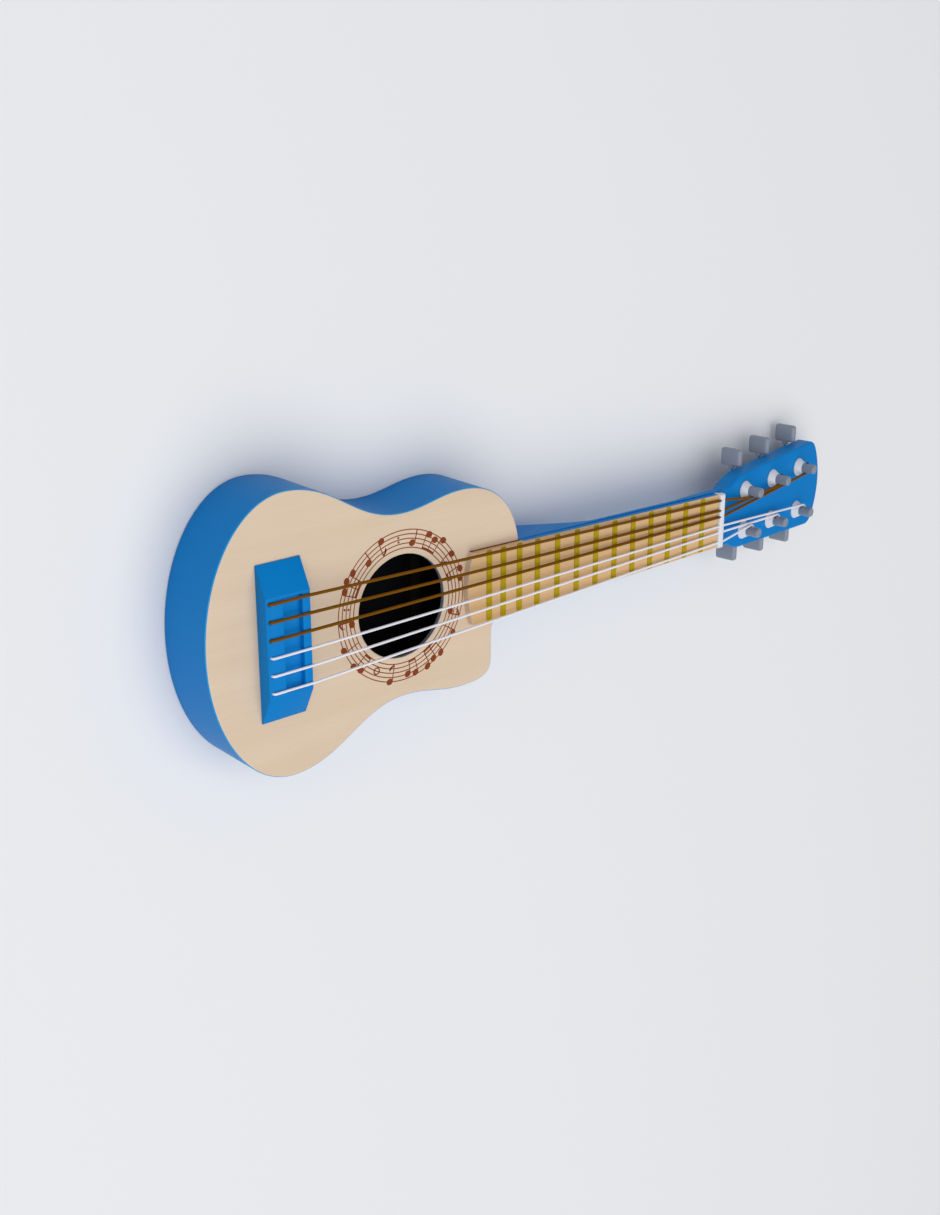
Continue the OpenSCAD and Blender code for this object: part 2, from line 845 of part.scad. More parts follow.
function button_u(s) = post_u(s) + worm_from_post;
function button_from_post(s) = head_half(button_u(s)) + button_gap - post_v(s);
shaft_in_button = button_w / 2;
inner_end = bearing_at + bearing_t + clear_gap;

module worm(s) {
    color(steel) on_worm(s) {
        translate([0, 0, -inner_end])
            cylinder(r = shaft_r, h = inner_end + button_from_post(s) + shaft_in_button);
        thread();
    }
}

module rounded_bar(x, y, z, r) {
    linear_extrude(z, center = true) {
        square([x, y - 2 * r], center = true);
        square([x - 2 * r, y], center = true);
        for (i = [-1, 1], j = [-1, 1])
            translate([i * (x / 2 - r), j * (y / 2 - r)]) circle(r);
    }
}

module button(s) {
    collar_r = shaft_r + 1.4;
    collar_l = button_gap - clear_gap;
    color(grey_plastic) on_worm(s) difference() {
        union() {
            translate([0, 0, button_from_post(s) + button_w / 2]) intersection() {
                rounded_bar(button_l, button_h, button_w, button_r);
                rotate([90, 0, 0]) rounded_bar(button_l, button_w, button_h, button_r);
                rotate([0, 90, 0]) rounded_bar(button_w, button_h, button_l, button_r);
            }
            translate([0, 0, button_from_post(s) - collar_l]) cylinder(r = collar_r, h = collar_l + over);
        }
        translate([0, 0, button_from_post(s) - button_gap])
            cylinder(r = shaft_r + slip_gap, h = button_gap + shaft_in_button + slip_gap);
    }
}

// Children at the four screws of one tuner plate; s is any string of that side
module at_screws(s) {
    tuner = side(s) > 0 ? string_count : 1;
    at_tuner(tuner) for (i = [0:per_side])
        translate([post_pitch * (i - 0.5) + worm_from_post / 2, post_splay * (i - 0.5), 0]) children();
}

module tuner_plate(s) {
    tuner = side(s) > 0 ? string_count : 1;
    last = per_side - 1;
    margin = 3.5;
    start = [-post_pitch / 2 + worm_from_post / 2 - margin, -post_splay / 2];
    end = [post_pitch * (last + 0.5) + worm_from_post / 2 + margin, post_splay * (last + 0.5)];
    up = [0, plate_w / 2];
    bearing_w = 2 * shaft_r + 3;
    color(steel) difference() {
        union() {
            at_tuner(tuner) translate([0, 0, -head_t - plate_t])
                linear_extrude(plate_t) polygon([start - up, end - up, end + up, start + up]);
            for (k = [0:last]) at_tuner(tuner + (side(s) > 0 ? -k : k)) for (j = [-1, 1])
                translate([
                    worm_from_post - bearing_w / 2,
                    j * (bearing_at + bearing_t / 2) - bearing_t / 2,
                    worm_z - bearing_w / 2
                ])
                    cube([bearing_w, bearing_t, -head_t - worm_z + bearing_w / 2]);
        }
        for (k = [0:last]) at_tuner(tuner + (side(s) > 0 ? -k : k)) {
            translate([0, 0, -head_t - plate_t - over])
                cylinder(d = journal_d + 2 * running_gap, h = plate_t + 2 * over);
            translate([worm_from_post, 0, worm_z]) rotate([90, 0, 0])
                cylinder(r = shaft_r + running_gap, h = 4 * bearing_at, center = true);
        }
        at_screws(s) translate([0, 0, -head_t - plate_t - over])
            cylinder(d = screw_d + 2 * slip_gap, h = plate_t + 2 * over);
    }
}

module plate_screws() {
    head_h = 1;
    color(steel) for (s = [1, string_count]) at_screws(s) translate([0, 0, -head_t - plate_t]) {
        translate([0, 0, -head_h]) cylinder(d = 2 * screw_d, h = head_h);
        cylinder(d = screw_d - 2 * slip_gap, h = plate_t + screw_l - slip_gap);
    }
}

// ---- Nodes -----------------------------------------------------------------------------

soundboard();
back_plate();
side_rim();
top_lining();
back_lining();
tail_block();
neck_block();
top_braces();
back_braces();
bridge_plate();
neck();
heel_dowels();
fretboard();
frets();
nut();
bridge();
guitar_string(1);  // string_1
guitar_string(2);  // string_2
guitar_string(3);  // string_3
guitar_string(4);  // string_4
guitar_string(5);  // string_5
guitar_string(6);  // string_6
post_bushings();
tuner_plate(6);  // bass_tuner_plate
tuner_plate(1);  // treble_tuner_plate
plate_screws();
post(1);  // post_1
post(2);  // post_2
post(3);  // post_3
post(4);  // post_4
post(5);  // post_5
post(6);  // post_6
gear(1);  // gear_1
gear(2);  // gear_2
gear(3);  // gear_3
gear(4);  // gear_4
gear(5);  // gear_5
gear(6);  // gear_6
gear_screw(1);  // gear_screw_1
gear_screw(2);  // gear_screw_2
gear_screw(3);  // gear_screw_3
gear_screw(4);  // gear_screw_4
gear_screw(5);  // gear_screw_5
gear_screw(6);  // gear_screw_6
worm(1);  // worm_1
worm(2);  // worm_2
worm(3);  // worm_3
worm(4);  // worm_4
worm(5);  // worm_5
worm(6);  // worm_6
button(1);  // button_1
button(2);  // button_2
button(3);  // button_3
button(4);  // button_4
button(5);  // button_5
button(6);  // button_6
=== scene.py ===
# %% [markdown]
# A toy acoustic guitar, dressed over its engineering model.
#
# The frame holds every solid of the guitar in its real place and size. The cells below draw the
# pieces that show, one after the other, as smooth surfaces in the same places, and then paint them.
# All shapes are worked out in millimetres, counted from the tail along the strings, because that is
# how a guitar maker measures, and only the last step turns them into Blender's metres.

# %% Load the frame
import json
import math

import bpy
import numpy as np
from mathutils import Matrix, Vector

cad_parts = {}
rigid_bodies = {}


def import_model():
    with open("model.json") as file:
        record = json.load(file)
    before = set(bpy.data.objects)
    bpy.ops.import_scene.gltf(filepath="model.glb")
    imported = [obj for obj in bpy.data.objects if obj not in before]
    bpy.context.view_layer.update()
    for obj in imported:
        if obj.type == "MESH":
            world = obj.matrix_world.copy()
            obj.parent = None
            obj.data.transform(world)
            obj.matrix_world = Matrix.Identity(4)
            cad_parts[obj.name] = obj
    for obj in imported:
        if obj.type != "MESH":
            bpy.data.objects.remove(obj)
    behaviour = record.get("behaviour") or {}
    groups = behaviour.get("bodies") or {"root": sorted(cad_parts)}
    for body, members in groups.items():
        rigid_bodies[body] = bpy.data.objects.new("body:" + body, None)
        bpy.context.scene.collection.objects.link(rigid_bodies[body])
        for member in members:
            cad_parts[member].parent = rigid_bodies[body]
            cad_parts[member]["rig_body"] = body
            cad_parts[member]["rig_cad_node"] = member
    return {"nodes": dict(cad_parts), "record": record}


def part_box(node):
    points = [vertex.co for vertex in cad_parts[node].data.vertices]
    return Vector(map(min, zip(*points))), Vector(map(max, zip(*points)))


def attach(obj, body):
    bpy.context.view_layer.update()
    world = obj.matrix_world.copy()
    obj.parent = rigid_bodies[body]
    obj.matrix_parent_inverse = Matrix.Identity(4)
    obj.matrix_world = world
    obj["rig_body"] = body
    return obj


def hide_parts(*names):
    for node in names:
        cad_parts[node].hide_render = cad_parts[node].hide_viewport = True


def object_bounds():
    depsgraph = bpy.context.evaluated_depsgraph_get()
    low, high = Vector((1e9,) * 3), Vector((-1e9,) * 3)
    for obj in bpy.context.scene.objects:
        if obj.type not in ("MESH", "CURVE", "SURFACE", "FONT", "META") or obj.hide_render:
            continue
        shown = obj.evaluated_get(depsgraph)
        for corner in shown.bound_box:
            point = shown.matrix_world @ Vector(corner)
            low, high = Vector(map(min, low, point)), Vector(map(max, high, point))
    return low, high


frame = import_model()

cad_low, cad_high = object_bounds()
MM = 0.001
tail_x = cad_low.x / MM
total_l = (cad_high.x - cad_low.x) / MM
print(f"frame: {len(frame['nodes'])} nodes, {total_l:.1f} mm long")

# %% [markdown]
# The camera stands where the photograph was taken from: before the tail, above the bass side,
# looking down along the strings. Its place and turn are real sizes that were fitted to straight
# edges and outlines in the photograph, rather than set by eye, so the render overlays it.

# %% Camera
camera_place = Vector((tail_x - 464.7, 359.2, 845.5)) * MM
camera_turn = (-19.632, -40.630, -0.036)
focal_mm = 46.23
sensor_mm = 36.0

camera_data = bpy.data.cameras.new("camera")
camera_data.lens = focal_mm
camera_data.sensor_width = sensor_mm
camera = bpy.data.objects.new("camera", camera_data)
camera.location = camera_place
camera.rotation_euler = [math.radians(a) for a in camera_turn]
bpy.context.scene.collection.objects.link(camera)
bpy.context.scene.camera = camera
print(f"camera: {focal_mm} mm lens, {camera_place.z / MM:.0f} mm above the floor")

# %% [markdown]
# Every new piece is a grid: one direction goes round the shape, the other along its profile. A grid
# needs only its points, because the faces follow from the row and column numbers. The helpers here
# turn such an array into a mesh, close its ends, and mark the sharp edges by their angle. Each new
# piece prints its number of faces.

# %% Helpers for meshes
smooth_deg = 38  # faces that meet at a smaller angle are shaded as one smooth surface
glued_r = 0.05  # the radius of an edge that is glued against another piece and never seen


def grid_faces(rows, cols, wrap_rows):
    """Four-sided faces between neighbouring points of closed rows, numbered row by row."""
    i, j = np.meshgrid(
        np.arange(rows if wrap_rows else rows - 1), np.arange(cols), indexing="ij"
    )
    i_next = (i + 1) % rows
    j_next = (j + 1) % cols
    corners = [i * cols + j, i * cols + j_next, i_next * cols + j_next, i_next * cols + j]
    return np.stack(corners, axis=-1).reshape(-1, 4)


def new_piece(name, points, faces, body, replaces=(), sharp_deg=smooth_deg):
    """A mesh object from points in mm (X from the tail), riding on a body in place of CAD nodes."""
    place = np.asarray(points, float) + np.array([tail_x, 0.0, 0.0])
    mesh = bpy.data.meshes.new(name)
    mesh.from_pydata((place * MM).tolist(), [], [list(map(int, f)) for f in faces])
    mesh.validate()
    mesh.shade_smooth()
    mesh.set_sharp_from_angle(angle=math.radians(sharp_deg))
    piece = bpy.data.objects.new(name, mesh)
    bpy.context.scene.collection.objects.link(piece)
    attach(piece, body)
    if replaces:
        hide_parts(*replaces)
    print(f"{name}: {len(mesh.polygons)} faces")
    return piece


def stacked(rings, wrap=False):
    """Points and faces of closed rings laid on each other; caps close the ends unless they wrap."""
    rings = np.asarray(rings, float)
    count, cols = rings.shape[:2]
    faces = grid_faces(count, cols, wrap_rows=wrap).tolist()
    if not wrap:
        faces.append(list(range(cols))[::-1])
        faces.append(list(range((count - 1) * cols, count * cols)))
    return rings.reshape(-1, 3), faces


def joined(parts):
    """One point array and one face list from several."""
    points, faces, start = [], [], 0
    for part_points, part_faces in parts:
        points.append(part_points)
        faces += [[start + v for v in face] for face in part_faces]
        start += len(part_points)
    return np.concatenate(points), faces


def drawn_in(outline, distance):
    """A closed outline moved inwards: each corner goes along the mean of its two side normals."""
    before = outline - np.roll(outline, 1, axis=0)
    after = np.roll(outline, -1, axis=0) - outline
    normal = [np.stack([-d[:, 1], d[:, 0]], 1) / np.linalg.norm(d, axis=1)[:, None]
              for d in (before, after)]
    mitre = 1 + (normal[0] * normal[1]).sum(1)
    return outline + (normal[0] + normal[1]) * (distance / mitre)[:, None]


def rounded_edge(radius, support=2.0, steps=4):
    """(inset, drop) pairs of a quarter round from the side wall to the flat, plus one support."""
    angle = np.linspace(0, math.pi / 2, steps + 1)
    inset = radius * (1 - np.cos(angle))
    drop = radius * (1 - np.sin(angle))
    return [*zip(inset, drop), (support * radius, 0.0)]


def unit_circle(sides):
    """Points of the circle of radius 1: the cosine and the sine of evenly spaced angles."""
    a = np.linspace(0, 2 * math.pi, sides, endpoint=False)
    return np.column_stack([np.cos(a), np.sin(a)])


def at_height(plan, z):
    """A flat outline, lifted to one height."""
    return np.column_stack([plan, np.full(len(plan), z)])


def plate_rings(plan, low, high, low_r, high_r, support=2.0):
    """Rings of a plate with the given outline whose lower and upper edges are rounded."""
    profile = [(inset, low + drop) for inset, drop in rounded_edge(low_r, support)[::-1]]
    profile += [(inset, high - drop) for inset, drop in rounded_edge(high_r, support)]
    return [at_height(drawn_in(plan, inset), z) for inset, z in profile]


def even(points, step):
    """The same polyline with extra points on its long stretches, none farther apart than step."""
    out = []
    for a, b in zip(points, np.roll(points, -1, axis=0)):
        parts = max(1, math.ceil(np.linalg.norm(b - a) / step))
        out.append(a + (b - a) * (np.arange(parts) / parts)[:, None])
    return np.concatenate(out)


# %% [markdown]
# The body's outline is a chain of cubic curves through the widest and narrowest points of the
# bouts. The bass side ends in a round shoulder, and the treble side in the cutaway's horn and a
# hollow corner at the neck. The same few sizes shape the soundboard, the sides and the back, so
# they fit on each other.

# %% Outline of the body
body_l, body_d = 264.0, 50.0
lower, waist, upper = np.array([[64.0, 98.5], [158.0, 66.5], [211.0, 73.5]])
cutaway_at, cutaway_r = 238.0, 12.0
neck_l, nut_t = 212.5, 6.0
nut_front = body_l + neck_l
nut_back = nut_front + nut_t
board_start, board_end_half, board_nut_half = 211.5, 27.2, 22.3
neck_nut_half, neck_over = 23.5, 0.5
quarter = 0.5523  # handle of a cubic curve that draws a quarter of an ellipse

# The other handles, as shares of the length or width that their curve covers
waist_reach, upper_reach = 0.42, 0.38
shoulder_reach, shoulder_in, shoulder_drop = 0.58, 0.08, 0.6
horn_reach, horn_rise = 0.6, 0.9
horn_fall = 0.55  # how far the horn's tip lies inside the upper bout, as a share of its length


def board_half(t):
    """Half width of the fretboard, which narrows in a straight line to the nut."""
    share = (nut_front - t) / (nut_front - board_start)
    return board_nut_half + (board_end_half - board_nut_half) * share


joint_half = board_half(body_l) + neck_over


def neck_half(t):
    """Half width of the neck, which stands out a little past the fretboard."""
    share = (min(t, nut_front) - body_l) / neck_l
    return joint_half + (neck_nut_half - joint_half) * share


def curve(a, b, c, d, steps=44):
    """A cubic curve from a to d with handles b and c, without its last point."""
    s = (np.arange(steps) / steps)[:, None]
    a, b, c, d = (np.asarray(p, float) for p in (a, b, c, d))
    return (1 - s) ** 3 * a + 3 * s * (1 - s) ** 2 * b + 3 * s * s * (1 - s) * c + s**3 * d


def swell(a, b, share):
    """A curve between two points where the outline runs straight along the strings."""
    reach = (b[0] - a[0]) * share
    return curve(a, (a[0] + reach, a[1]), (b[0] - reach, b[1]), b)


def body_outline():
    """The closed outline, anticlockwise: treble side, neck joint, then back along the bass side."""
    bouts = np.concatenate([
        curve((0, 0), (0, quarter * lower[1]), (lower[0] * (1 - quarter), lower[1]), lower),
        swell(lower, waist, waist_reach),
        swell(waist, upper, upper_reach),
    ])
    reach, drop = body_l - upper[0], upper[1] - joint_half
    joint = np.array([body_l, joint_half])
    shoulder = curve(upper, upper + [shoulder_reach * reach, 0],
                     joint + [-shoulder_in * reach, shoulder_drop * drop], joint)
    bite = cutaway_at - upper[0]
    horn = np.array([cutaway_at, upper[1] - horn_fall * bite])
    fall = upper[1] - horn[1]
    turn = np.radians(np.linspace(0, 90, 13))
    hollow = np.array([cutaway_at + cutaway_r, joint_half + cutaway_r])
    cutaway = np.concatenate([
        curve(upper, upper + [horn_reach * bite, 0], horn + [0, horn_rise * fall], horn),
        [horn],
        hollow - cutaway_r * np.column_stack([np.cos(turn), np.sin(turn)]),
    ])
    treble = np.concatenate([bouts, cutaway, [joint]]) * [1, -1]
    bass = np.concatenate([bouts, shoulder, [joint]])
    return even(np.concatenate([treble, bass[:0:-1]]), step=3.0)


outline = body_outline()
print(f"body outline: {len(outline)} points, {np.ptp(outline[:, 1]):.1f} mm wide")

# %% [markdown]
# The soundboard is a thin plate with a round hole. Its section is one closed profile: up the outer
# edge, over a small round, across to the hole, down the hole's wall and back underneath. Each ring
# of the outline is matched with a ring on the hole by direction, so the faces never cross.

# %% Soundboard
top_t = 3.0
hole_at, hole_r = 156.5, 37.0
top_edge_r = 1.0


def soundboard_rings():
    """Outer rings from low to high, then hole rings from high to low."""
    rings = [at_height(outline, body_d - top_t)]
    for inset, drop in rounded_edge(top_edge_r):
        rings.append(at_height(drawn_in(outline, inset), body_d - drop))
    away = outline - [hole_at, 0]
    away /= np.linalg.norm(away, axis=1)[:, None]
    for inset, drop in [*rounded_edge(top_edge_r)[::-1], (0.0, top_t)]:
        rings.append(at_height([hole_at, 0] + away * (hole_r + inset), body_d - drop))
    return rings


soundboard = new_piece(
    "soundboard_top", *stacked(soundboard_rings(), wrap=True), "guitar", ["soundboard"]
)

# %% [markdown]
# The sides are one bent strip of wood and the back is a plate. The back's lower edge is rounded
# more than the top's, as a sanded and painted edge is.

# %% Sides and back
side_t, back_t = 4.0, 3.0
back_edge_r = 1.2


def wall_rings():
    """The strip's section as four rings: outer low and high, inner high and low."""
    inside, seat = drawn_in(outline, side_t), body_d - top_t
    section = [(outline, back_t), (outline, seat), (inside, seat), (inside, back_t)]
    return [at_height(ring, z) for ring, z in section]


sides = new_piece("bent_sides", *stacked(wall_rings(), wrap=True), "guitar", ["side_rim"])
back = new_piece(
    "back_panel", *stacked(plate_rings(outline, 0.0, back_t, back_edge_r, glued_r)),
    "guitar", ["back_plate"],
)

# %% [markdown]
# The neck is carved from one piece of wood. Its section is a rounded block at the heel, nearly half
# an ellipse along the shaft, and squarer again towards the headstock. The formula raises cosine and
# sine to a power, which is the usual way to go smoothly from round to square, and the power changes
# little by little so that no step shows. Past the nut the shaft thins and narrows on every
# millimetre, and so ends inside the root of the headstock.

# %% Neck shaft
shaft_d, heel_l, heel_cut = 13.0, 82.0, 2.0
heel_hollow = 1.6  # the power of the heel's curve; a straight wedge would have 1
volute_l, volute_rise, volute_slope = 10.0, 0.16, 0.05  # losses of depth and half width per mm
shaft_square, heel_square, root_square = 2.4, 5.6, 2.1  # 2 is an ellipse, and more is squarer
heel_square_l = 0.7 * heel_l
root_square_start, root_square_l = nut_front - 40, 50
shaft_rings, crowding = 90, 1.2  # the rings stand closer together at the heel


def clamp01(value):
    """The value, or the nearer one of 0 and 1 where it lies outside them."""
    return min(1.0, max(0.0, value))


def eased(value):
    """0 to 1 with a gentle start and end: three times the square less twice the cube."""
    share = np.clip(value, 0, 1)
    return share * share * (3 - 2 * share)


def neck_section(t, steps=64):
    """Points of the section at t, from the treble edge under the neck to the bass edge."""
    past_nut = max(0.0, t - nut_back)
    half = neck_half(t) - volute_slope * past_nut
    curve_in = 1 - clamp01((t - body_l) / heel_l)
    heel_d = (body_d + heel_cut - shaft_d) * curve_in**heel_hollow
    depth = shaft_d + heel_d - volute_rise * past_nut
    squareness = heel_square * eased((body_l + heel_l - t) / heel_square_l)
    squareness += root_square * clamp01((t - root_square_start) / root_square_l)
    power = 2 / (shaft_square + squareness)
    a = np.radians(np.linspace(0, 180, steps + 1))
    y = -np.sign(np.cos(a)) * half * np.abs(np.cos(a)) ** power
    z = np.maximum(0.0, body_d - depth * np.sin(a).clip(0) ** power)
    return np.column_stack([np.full_like(y, t), y, z])


shaft_l = nut_back + volute_l - body_l
shaft_stations = body_l + shaft_l * np.linspace(0, 1, shaft_rings) ** crowding
neck_shaft = new_piece(
    "neck_shaft", *stacked([neck_section(t) for t in shaft_stations]), "guitar", ["neck"],
    sharp_deg=50,
)

# %% [markdown]
# The headstock leans back from the nut. It is easiest to draw it flat, with u along its face and v
# across, and then to lean the finished points. The outline flares from the neck's width, widens a
# little to the far corners and ends in a shallow bulge. At the root its sides lean in below, as a
# carver would round them to meet the shaft. Its bores are cut with cylinders, because six round
# holes would spoil an even grid.

# %% Headstock
head_l, head_t, head_tilt, face_lift = 164.6, 14.0, math.radians(9.2), 3.0
flare_l, near_half, far_half = 40.0, 32.0, 37.35
flare_shares, flare_dip = (0.1, 0.52, 0.45), 0.8  # start and two handles along the flare; mm across
corner_r, bulge = 14.0, 4.4
head_edge_r = 1.6
under_nut = 2.0  # the slab starts a little under the nut
bore_r, bore_over = 5.6, 2.0  # the cutters stand out past both faces
root_l, root_carve = 19.0, 0.13  # where the sides lean in below, and by what share at the nut


def carved_root(points):
    """Slab points whose sides lean in below, more and more towards the nut, to meet the shaft."""
    u, v, w = points.T
    lean = root_carve * eased((root_l - u) / root_l) * (-w / head_t).clip(0, 1)
    return np.column_stack([u, v * (1 - lean), w])


def leaned(points):
    """Points (u, v, height above the face) turned back round the nut's rear edge, from the tail."""
    u, v, w = np.asarray(points, float).T
    cos, sin = math.cos(head_tilt), math.sin(head_tilt)
    return np.column_stack([
        nut_back + u * cos + w * sin, v, body_d + face_lift - u * sin + w * cos
    ])


def head_outline():
    """The closed outline on the face, anticlockwise, from the treble corner at the nut."""
    shoulder_end = np.array([head_l - bulge - corner_r, far_half])
    corner_end = np.array([head_l - bulge, far_half - corner_r])
    handle = quarter * corner_r
    start, leave, arrive = (share * flare_l for share in flare_shares)
    bass = np.concatenate([
        [[-under_nut, neck_nut_half]],
        curve((start, neck_nut_half), (leave, neck_nut_half),
              (arrive, near_half - flare_dip), (flare_l, near_half), steps=30),
        [[flare_l, near_half]],
        curve(shoulder_end, shoulder_end + [handle, 0],
              corner_end + [-2 * handle * bulge / corner_end[1], handle], corner_end, steps=14),
    ])
    tip = curve(corner_end, (head_l + bulge / 3, corner_end[1] / 3),
                (head_l + bulge / 3, -corner_end[1] / 3), corner_end * [1, -1], steps=24)
    clockwise = np.concatenate([bass, tip, (bass * [1, -1])[::-1]])
    return even(clockwise[::-1], step=4.0)


post_first, post_pitch, post_side, post_splay = 37.0, 44.5, 17.1, 1.0
strings = range(1, 7)


def side_of(s):
    """+1 for the bass strings 4 to 6, -1 for the treble strings 1 to 3."""
    return 1 if s > 3 else -1


def row_of(s):
    """Place of string s's post in its row: the outer strings go to the posts nearest the nut."""
    return 6 - s if s > 3 else s - 1


def post_centre(s):
    """(u, v) of string s's post."""
    row = row_of(s)
    return post_first + post_pitch * row, side_of(s) * (post_side + post_splay * row)


def turned(centre, profile, sides, wrap=False):
    """A profile of (radius, height) pairs spun round a post's axis; wrap makes it a closed ring."""
    rings = [leaned(at_height(centre + r * unit_circle(sides), w)) for r, w in profile]
    return stacked(rings, wrap=wrap)


def cut_away(piece, cutter):
    """Takes the cutter's volume out of the piece for good, and removes the cutter."""
    boolean = piece.modifiers.new("cut", "BOOLEAN")
    boolean.object = cutter
    boolean.solver = "EXACT"
    graph = bpy.context.evaluated_depsgraph_get()
    finished = bpy.data.meshes.new_from_object(piece.evaluated_get(graph))
    piece.modifiers.clear()
    piece.data = finished
    finished.shade_smooth()
    finished.set_sharp_from_angle(angle=math.radians(smooth_deg))
    bpy.data.objects.remove(cutter)


slab = plate_rings(head_outline(), -head_t, 0.0, head_edge_r, head_edge_r)
slab_points, slab_faces = stacked(slab)
headstock = new_piece(
    "headstock", leaned(carved_root(slab_points)), slab_faces, "guitar", ["neck"]
)
bore_profile = [(bore_r, -head_t - bore_over), (bore_r, bore_over)]
bores = joined([turned(post_centre(s), bore_profile, sides=48) for s in strings])
cut_away(headstock, new_piece("bore_cutter", *bores, "guitar"))
print(f"headstock: {len(headstock.data.polygons)} faces after its bores")

# %% [markdown]
# The fretboard is a flat strip with a rounded end over the body. The frets are low bars, flat with
# softened edges, from side to side. Ten of them stand at an even pitch, and the last gaps shrink.
# A fret's section is an oval whose sine and cosine are raised to a power, as the neck's section is,
# and the same trick on its length rounds both ends.

# %% Fretboard and frets
board_t, board_bulge, board_edge_r = 5.5, 5.0, 0.35
board_top = body_d + board_t
side_split = body_d + 0.45 * board_t  # where the sides over the body change from painted shade below to bare wood above
arc_share = 0.993  # the end's arc stops just short of the sides, so that no two points meet
fret_w, fret_h, fret_margin, fret_sink = 4.8, 0.9, 0.4, 0.02
fret_square, end_square, end_round = 0.35, 40, 0.3  # powers for the section and for both ends
first_fret, fret_pitch, fret_shrink, even_frets, fret_count = 18.9, 20.0, 2.2, 10, 13


def board_outline():
    """Straight sides, and an arc of a circle at the end over the body."""
    radius = (board_end_half**2 + board_bulge**2) / (2 * board_bulge)
    reach = math.asin(board_end_half * arc_share / radius)
    a = math.pi + np.linspace(-reach, reach, 40)
    arc = np.column_stack([board_start + radius * (1 + np.cos(a)), -radius * np.sin(a)])
    joint, nut_end = [body_l, board_half(body_l)], [nut_front, board_nut_half]
    corners = np.array([joint, nut_end, nut_end, joint]) * [[1, -1], [1, -1], [1, 1], [1, 1]]
    return even(np.concatenate([arc[::-1], corners]), step=6.0)


board_rings = plate_rings(board_outline(), body_d, board_top, glued_r, board_edge_r)
low_rows = 6  # rings of the lower edge; one more ring then parts the side into painted shade and bare wood
board_rings.insert(low_rows, board_rings[low_rows - 1] * [1, 1, 0] + [0, 0, side_split])
fretboard = new_piece("fretboard_strip", *stacked(board_rings), "guitar", ["fretboard"])


def fret_at(i):
    """Distance of fret i from the tail: even steps, then steps that shrink one by one."""
    late = max(0, i - even_frets)
    return nut_front - first_fret - fret_pitch * (i - 1) + fret_shrink * late * (late + 1) / 2


def fret_part(i, across=16, along=36):
    """A bar with a squared-off oval section, whose size falls off in a quick round at the ends."""
    t, half = fret_at(i), board_half(fret_at(i)) - fret_margin
    s = np.sin(np.linspace(-math.pi / 2, math.pi / 2, along + 1))
    size = (1 - np.abs(s) ** end_square).clip(1e-6) ** end_round
    a = np.linspace(math.pi, 0, across + 1)
    oval_x = np.sign(np.cos(a)) * np.abs(np.cos(a)) ** fret_square
    x = t + fret_w / 2 * np.outer(np.sqrt(size), oval_x)
    y = np.outer(s * half, np.ones_like(a))
    z = board_top - fret_sink + fret_h * np.outer(size, np.sin(a).clip(0) ** fret_square)
    return stacked(np.stack([x, y, z], axis=-1))


frets = new_piece(
    "fret_bars", *joined([fret_part(i) for i in range(1, fret_count + 1)]), "guitar", ["frets"],
    sharp_deg=60,
)

# %% [markdown]
# The bridge is a painted block with sloping ends and a trough, and its mesh in the frame already
# has that form, with few faces and true edges. A real painted edge is never knife sharp, so the
# bridge is a copy of that mesh whose loose triangles are merged and whose edges get a bevel.

# %% Bridge with softened edges
def softened(name, node, width_mm, body):
    """A merged copy of a frame node with bevelled edges."""
    piece = frame["nodes"][node].copy()
    piece.data = piece.data.copy()
    piece.name = name
    bpy.context.scene.collection.objects.link(piece)
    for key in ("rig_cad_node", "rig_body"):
        if key in piece:
            del piece[key]
    piece.parent = None
    weld = piece.modifiers.new("weld", "WELD")
    weld.merge_threshold = 1e-6
    flat = piece.modifiers.new("flat", "DECIMATE")
    flat.decimate_type = "DISSOLVE"
    flat.angle_limit = math.radians(1)
    bevel = piece.modifiers.new("bevel", "BEVEL")
    bevel.width = width_mm * MM
    bevel.segments = 3
    bevel.limit_method = "ANGLE"
    bevel.angle_limit = math.radians(25)
    bevel.harden_normals = False
    graph = bpy.context.evaluated_depsgraph_get()
    finished = bpy.data.meshes.new_from_object(piece.evaluated_get(graph))
    piece.modifiers.clear()
    piece.data = finished
    finished.materials.clear()
    finished.shade_smooth()
    finished.set_sharp_from_angle(angle=math.radians(32))
    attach(piece, body)
    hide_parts(node)
    return piece


bridge = softened("bridge_block", "bridge", width_mm=0.5, body="guitar")
print(f"bridge: {len(bridge.data.polygons)} faces")

# %% [markdown]
# The nut is a small white block whose top is rounded all round. Its slots are as deep as a string
# is thick, so from above the block looks whole. The strings therefore simply pass through the
# block, just under its top.

# %% Nut
nut_half, nut_crown, nut_top = 22.5, 1.6, board_top + 2.9
nut_plan = even(np.array([
    [nut_front, -nut_half], [nut_back, -nut_half], [nut_back, nut_half], [nut_front, nut_half],
]), step=4.0)
nut_rings = plate_rings(nut_plan, body_d, nut_top, glued_r, nut_crown, support=1.1)
nut = new_piece("nut_block", *stacked(nut_rings), "guitar", ["nut"])

# %% [markdown]
# A string is a tube along its route: up out of the bridge, level over the bridge's top, straight to
# the nut, down to its post and a third of a turn round it. Each ring of the tube is set square to
# the route by carrying one sideways direction along, so that the tube never twists.

# %% Strings
string_r = 0.9
bass_r, treble_r = 1.1, 0.95  # the bronze strings look a little thicker than the white ones
bridge_at, bridge_l, bridge_h = 39.0, 34.0, 11.0
bridge_pitch, nut_places = 12.2, (17.5, 9.2, 3.9)  # the outer, middle and inner strings
string_hole_at, string_hole_d, string_end_gap, string_bend = 3.0, 6.0, 0.1, 1.8
string_at_bridge = body_d + bridge_h + string_r
nut_slot_h = 2.2  # top of the slots above the fretboard
string_at_nut = board_top + nut_slot_h - string_r / 2
string_lift, string_step, post_r, post_gap = 6.9, 0.8, 4.0, 0.3
wrap_deg = 130


